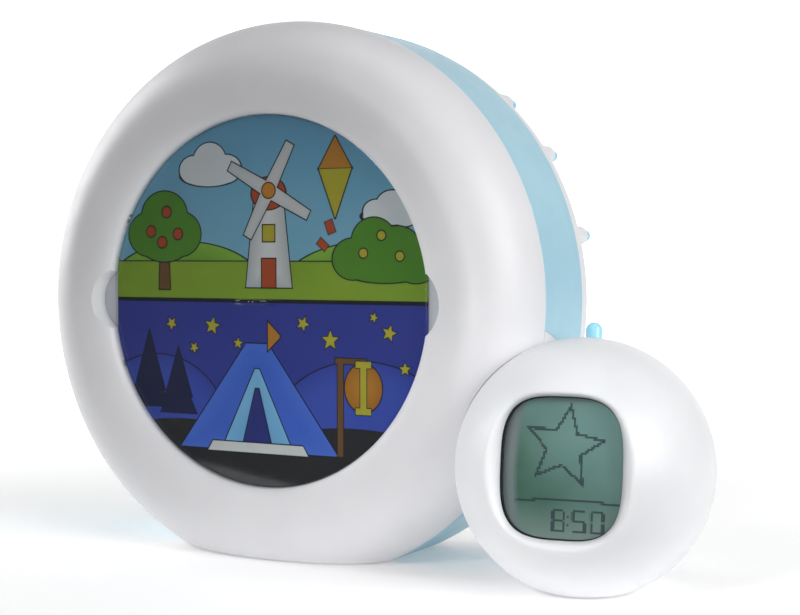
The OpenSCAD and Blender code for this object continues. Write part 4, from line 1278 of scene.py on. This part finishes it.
@dataclass
class SmallClock:
    """The ball-shaped clock: its two shells, the window with the display, and its keys."""

    radius: float = 41.8
    wall: float = 2.0
    seam: float = 2.0
    window_x: float = 19.0
    window_y: float = 21.7
    window_n: float = 3.3
    lens_z: float = 31.0
    lens_t: float = 1.2
    lap: float = 1.75
    flare_side: float = 3.2
    flare_corner: float = 1.8
    flare_top: float = 0.6
    gasket_t: float = 1.0
    gasket_out: float = 1.5
    gasket_in: float = 0.35
    display_t: float = 2.0
    mouth_bend: float = 1.5
    foot_r: float = 15.4
    foot_seat_r: float = 10.15
    foot_top: float = 2.5
    foot_seat_z: float = 0.7
    around: int = 192
    edge: float = 0.4
    corner_angle: float = 48.0
    lens_soft: float = 0.15
    gasket_soft: float = 0.1

    def window_reach(self, angle: float) -> float:
        """Returns: the distance from the window's middle to its outline at an angle, in radians."""
        across = abs(math.cos(angle) / self.window_x) ** self.window_n
        along = abs(math.sin(angle) / self.window_y) ** self.window_n
        return (across + along) ** (-1 / self.window_n)

    def section(self, angle: float) -> list[Point]:
        """Draws the front shell's closed section at an angle round the window's axis.

        Args:
            angle: the angle, in radians.

        Returns:
            Radius and height of each point. Every angle gives the same number of points.
        """
        window = self.window_reach(angle)
        widest = self.window_reach(math.radians(self.corner_angle))
        corner = (window - self.window_x) / (widest - self.window_x)
        flare = self.flare_side + (self.flare_corner - self.flare_side) * min(max(corner, 0.0), 1.0)
        flare += (self.flare_top - flare) * max(-math.sin(angle), 0.0) ** 2
        mouth = window + flare
        start = math.asin((mouth + self.mouth_bend) / self.radius)
        first = Vector((window, -self.lens_z))
        bend = Vector((mouth, -math.sqrt(self.radius**2 - mouth**2)))
        last = Vector((self.radius * math.sin(start), -self.radius * math.cos(start)))
        low = first.lerp(bend, 0.45)
        points = [tuple(first), tuple(first.lerp(bend, 0.2)), tuple(low)]
        points += [tuple(low.lerp(bend, t).lerp(bend.lerp(last, t), t)) for t in (i / 8 for i in range(1, 8))]
        points += self.meridian(self.radius, start, math.acos(-(self.seam - self.edge) / self.radius), 48)
        rim = points[-1][0]
        points += [(rim - 0.1, self.seam - 0.12), (rim - self.edge, self.seam)]
        inner = self.radius - self.wall
        closing = math.asin((window + self.lap + self.wall) / inner)
        points += self.meridian(inner, math.acos(-self.seam / inner), closing, 24)
        back = -self.lens_z + self.lens_t
        points.append((points[-1][0] - 0.1, max(back, points[-1][1])))
        return points + [(window + self.lap, back), (window + self.lap, -self.lens_z)]

    @staticmethod
    def meridian(radius: float, start: float, end: float, steps: int) -> list[Point]:
        """Draws a stretch of the ball's outline.

        Args:
            radius: its radius.
            start: its first angle from the front, in radians.
            end: its last angle.
            steps: how many steps it has.

        Returns:
            Radius and height of its points, both ends included.
        """
        turns = [start + (end - start) * i / steps for i in range(steps + 1)]
        return [(radius * math.sin(turn), -radius * math.cos(turn)) for turn in turns]

    def front_dome(self) -> None:
        """Builds the front shell, its window recess flowing into the dome."""
        Bench.pick()
        rings = [self.section(math.tau * i / self.around) for i in range(self.around)]
        count = len(rings[0])
        bpy.ops.mesh.primitive_grid_add(x_subdivisions=count, y_subdivisions=self.around)
        piece = Bench.named("clock_front_dome")
        for index, vertex in enumerate(piece.data.vertices):
            row, column = divmod(index, count + 1)
            turn = math.tau * (row % self.around) / self.around
            radius, height = rings[row % self.around][column % count]
            vertex.co = (radius * math.cos(turn), radius * math.sin(turn), height)
        Bench.tidy(piece)
        down = Seat.BALL.matrix().inverted() @ Seat.ROW.matrix()
        x, y, _ = BALL_CENTRE
        below = Bench.box("below", (x - 100, y - 100, -100), (x + 100, y + 100, PAD_PROUD))
        below.data.transform(down)
        Bench.cut(piece, below)
        Bench.cut(piece, self.floor(down), "UNION")
        Bench.seat(piece, Seat.BALL, PAINTED_BRIGHT_MILKY_ABS, "clock_front_shell", 35)

    def floor(self, down: Matrix) -> Solid:
        """Makes the front shell's share of the flat foot.

        Args:
            down: the matrix from the row frame to the ball's own.

        Returns:
            The floor as a solid, in the ball's frame.
        """
        reach, inner, top, sunk = self.foot_r, self.foot_seat_r, self.foot_top, self.foot_seat_z
        section = [(inner, PAD_PROUD), (reach, PAD_PROUD), (reach, top), (0, top), (0, sunk), (inner, sunk)]
        slab = Bench.turned("floor", section, 96)
        slab.data.transform(Matrix.Translation((BALL_CENTRE[0], BALL_CENTRE[1], 0)))
        slab.data.transform(down)
        Bench.cut(slab, Bench.box("behind", (-90, -90, self.seam), (90, 90, 90)))
        return slab

    def window_outline(self, grow: float) -> list[Point]:
        """Returns: the window's outline, drawn out by a margin."""
        turns = [math.tau * i / self.around for i in range(self.around)]
        reaches = [self.window_reach(turn) + grow for turn in turns]
        return [(reach * math.cos(turn), reach * math.sin(turn)) for reach, turn in zip(reaches, turns)]

    def window(self) -> None:
        """Dresses the lens, and builds its thin gasket and the display behind it."""
        Bench.dress("window_lens", self.lens_soft, ACRYLIC, PLATE_ANGLE)
        front = -self.lens_z + self.lens_t
        back = front + self.gasket_t
        gasket = Bench.plate("window_gasket", self.window_outline(self.gasket_out), front, back)
        Bench.cut(gasket, Bench.plate("hole", self.window_outline(-self.gasket_in), front - 1, back + 1))
        Bench.soften(gasket, self.gasket_soft, PLATE_ANGLE, 2)
        Bench.seat(gasket, Seat.BALL, GASKET, "screen_gasket")
        display = Bench.plate("display", self.window_outline(0), back, back + self.display_t)
        Bench.soften(display, self.lens_soft, PLATE_ANGLE, 1)
        Bench.seat(display, Seat.BALL, DISPLAY, "lcd_panel")

    def build(self) -> None:
        """Builds the front and its window, and dresses the rear shell, its hatch, the foot and the keys."""
        self.front_dome()
        self.window()
        Bench.dress("clock_rear_shell", 0.25, PAINTED_BRIGHT_MILKY_ABS)
        Bench.dress("clock_battery_door", 0.2, PAINTED_BRIGHT_MILKY_ABS)
        Bench.dress("clock_foot_pad", 0.15, RUBBER)
        Bench.dress("alarm_button", 0.0, BLUE_PC)
        for node in ("mode_button", "plus_button", "minus_button"):
            Bench.dress(node, 0.2, BLUE_PC)


@dataclass
class Inside:
    """The works that the shells hide, which keep their solids and get their real finishes."""

    finishes: tuple[tuple[Finish, str], ...] = (
        (WHITE_PS, "light_box light_divider battery_box clock_battery_box"),
        (WHITE_BOARD, "day_light_board night_light_board"),
        (LAMP, "day_leds night_leds"),
        (GREEN_BOARD, "main_board button_board clock_board clock_switch_board"),
        (BLACK_PLASTIC, "board_chips button_switches power_jack clock_chip clock_buzzer clock_switches"),
        (STEEL, "speaker_basket battery_springs battery_contacts clock_battery_contacts"),
        (STEEL, "battery_door_screw bezel_screws rear_screws light_box_screws board_screws clock_screws"),
        (FERRITE, "speaker_magnet"),
        (PAPER, "speaker_cone"),
        (CELL_WRAP, "batteries clock_batteries"),
        (GOLD, "dock_contacts clock_contact_pads"),
        (GUIDE, "screen_backlight"),
    )

    def build(self) -> None:
        """Gives every hidden node its finish."""
        for finish, names in self.finishes:
            for name in names.split():
                mesh = frame["nodes"][name].data
                mesh.materials.clear()
                mesh.materials.append(finish.material())
            LOG.info("%s on %s", finish.title, names)


@dataclass
class Studio:
    """A pale sweep turned to the camera, soft boxes round the object and soft spots on the small clock."""

    azimuth: float = 27.71
    elevation: float = 2.04
    target: tuple[float, float, float] = (0.0541, -0.0328, 0.0899)
    distance: float = 0.4974
    lens: float = 66.79
    sweep_front: float = -0.125
    sweep_back: float = 1.9
    sweep_bend: float = 0.3
    sweep_top: float = 1.3
    sweep_half: float = 1.9
    sweep_t: float = 0.004
    room: float = 0.14
    box_size: float = 0.7
    box_far: float = 1.15
    boxes: tuple[tuple[float, float, float], ...] = ((75, 20, 9.8), (-90, 20, 7.2), (0, 85, 2.4))
    spots: tuple[tuple[float, float, float, float], ...] = ((-12, 28, 15.0, 16.0), (12, 3, 11.0, 31.0))
    spot_aim: tuple[float, float, float] = (0.1, -0.05, 0.047)
    spot_far: float = 1.1
    spot_size: float = 0.12

    def camera(self) -> None:
        """Places the camera."""
        turn, rise = math.radians(self.azimuth), math.radians(self.elevation)
        ahead = Vector((-math.sin(turn) * math.cos(rise), math.cos(turn) * math.cos(rise), -math.sin(rise)))
        data = bpy.data.cameras.new("camera")
        data.lens = self.lens
        data.sensor_width = 36.0
        data.sensor_fit = "HORIZONTAL"
        data.clip_start = 0.01
        data.clip_end = 30.0
        camera = stand("camera", data)
        camera.location = Vector(self.target) - ahead * self.distance
        camera.rotation_euler = ahead.to_track_quat("-Z", "Y").to_euler()
        bpy.context.scene.camera = camera

    def sweep(self) -> None:
        """Builds the paper sweep: a floor that curves up into a wall behind the object."""
        middle = (self.sweep_back - self.sweep_bend, self.sweep_bend)
        bend = arc(middle, self.sweep_bend, -90, 0, 24)
        under = arc(middle, self.sweep_bend + self.sweep_t, 0, -90, 24)
        front = [(self.sweep_front, 0), *bend, (self.sweep_back, self.sweep_top)]
        back = [(self.sweep_back + self.sweep_t, self.sweep_top), *under, (self.sweep_front, -self.sweep_t)]
        paper = Bench.plate("studio_sweep", front + back, -self.sweep_half, self.sweep_half)
        upright = Matrix(((0, 0, 1, 0), (1, 0, 0, 0), (0, 1, 0, 0), (0, 0, 0, 1)))
        paper.data.transform(Matrix.Rotation(math.radians(self.azimuth), 4, "Z") @ upright)
        Bench.polish(paper)
        paper.data.materials.append(SWEEP_PAPER.material())

    def hang(self, data: bpy.types.Light, aim: Sequence[float], way: Sequence[float], far: float) -> None:
        """Hangs a lamp.

        Args:
            data: the lamp.
            aim: what it points at, in metres.
            way: its azimuth and elevation as seen from there, in degrees, 0 being the front.
            far: how far away it hangs, in metres.
        """
        turn, rise = (math.radians(angle) for angle in way)
        side = Vector((math.sin(turn) * math.cos(rise), -math.cos(turn) * math.cos(rise), math.sin(rise)))
        lamp = stand(data.name, data)
        lamp.location = Vector(aim) + side * far
        lamp.rotation_euler = side.to_track_quat("Z", "Y").to_euler()

    def light(self) -> None:
        """Hangs the soft boxes round the object and the soft spots before the small clock, in a dim room."""
        for turn, rise, power in self.boxes:
            data = bpy.data.lights.new(f"soft_box_{turn}", "AREA")
            data.energy = power
            data.size = self.box_size
            self.hang(data, self.target, (turn, rise), self.box_far)
        for turn, rise, cone, power in self.spots:
            data = bpy.data.lights.new(f"soft_spot_{turn}", "SPOT")
            data.energy = power
            data.spot_size = math.radians(cone)
            data.spot_blend = 1.0
            data.shadow_soft_size = self.spot_size
            self.hang(data, self.spot_aim, (turn, rise), self.spot_far)
        world = bpy.data.worlds.new("dim room")
        world.use_nodes = True
        ground = world.node_tree.nodes["Background"]
        ground.inputs["Color"].default_value = (1, 1, 1, 1)
        ground.inputs["Strength"].default_value = self.room
        bpy.context.scene.world = world
        bpy.context.scene.view_settings.view_transform = "Standard"

    def build(self) -> None:
        """Builds the studio."""
        self.camera()
        self.sweep()
        self.light()


def main() -> None:
    """Builds the object and its studio."""
    logging.basicConfig(level=logging.INFO, format="%(message)s")
    for unit in (Case(), PictureInsert(), SmallClock(), Inside(), Studio()):
        LOG.info("building %s", type(unit).__name__)
        unit.build()


if __name__ == "__main__":
    main()
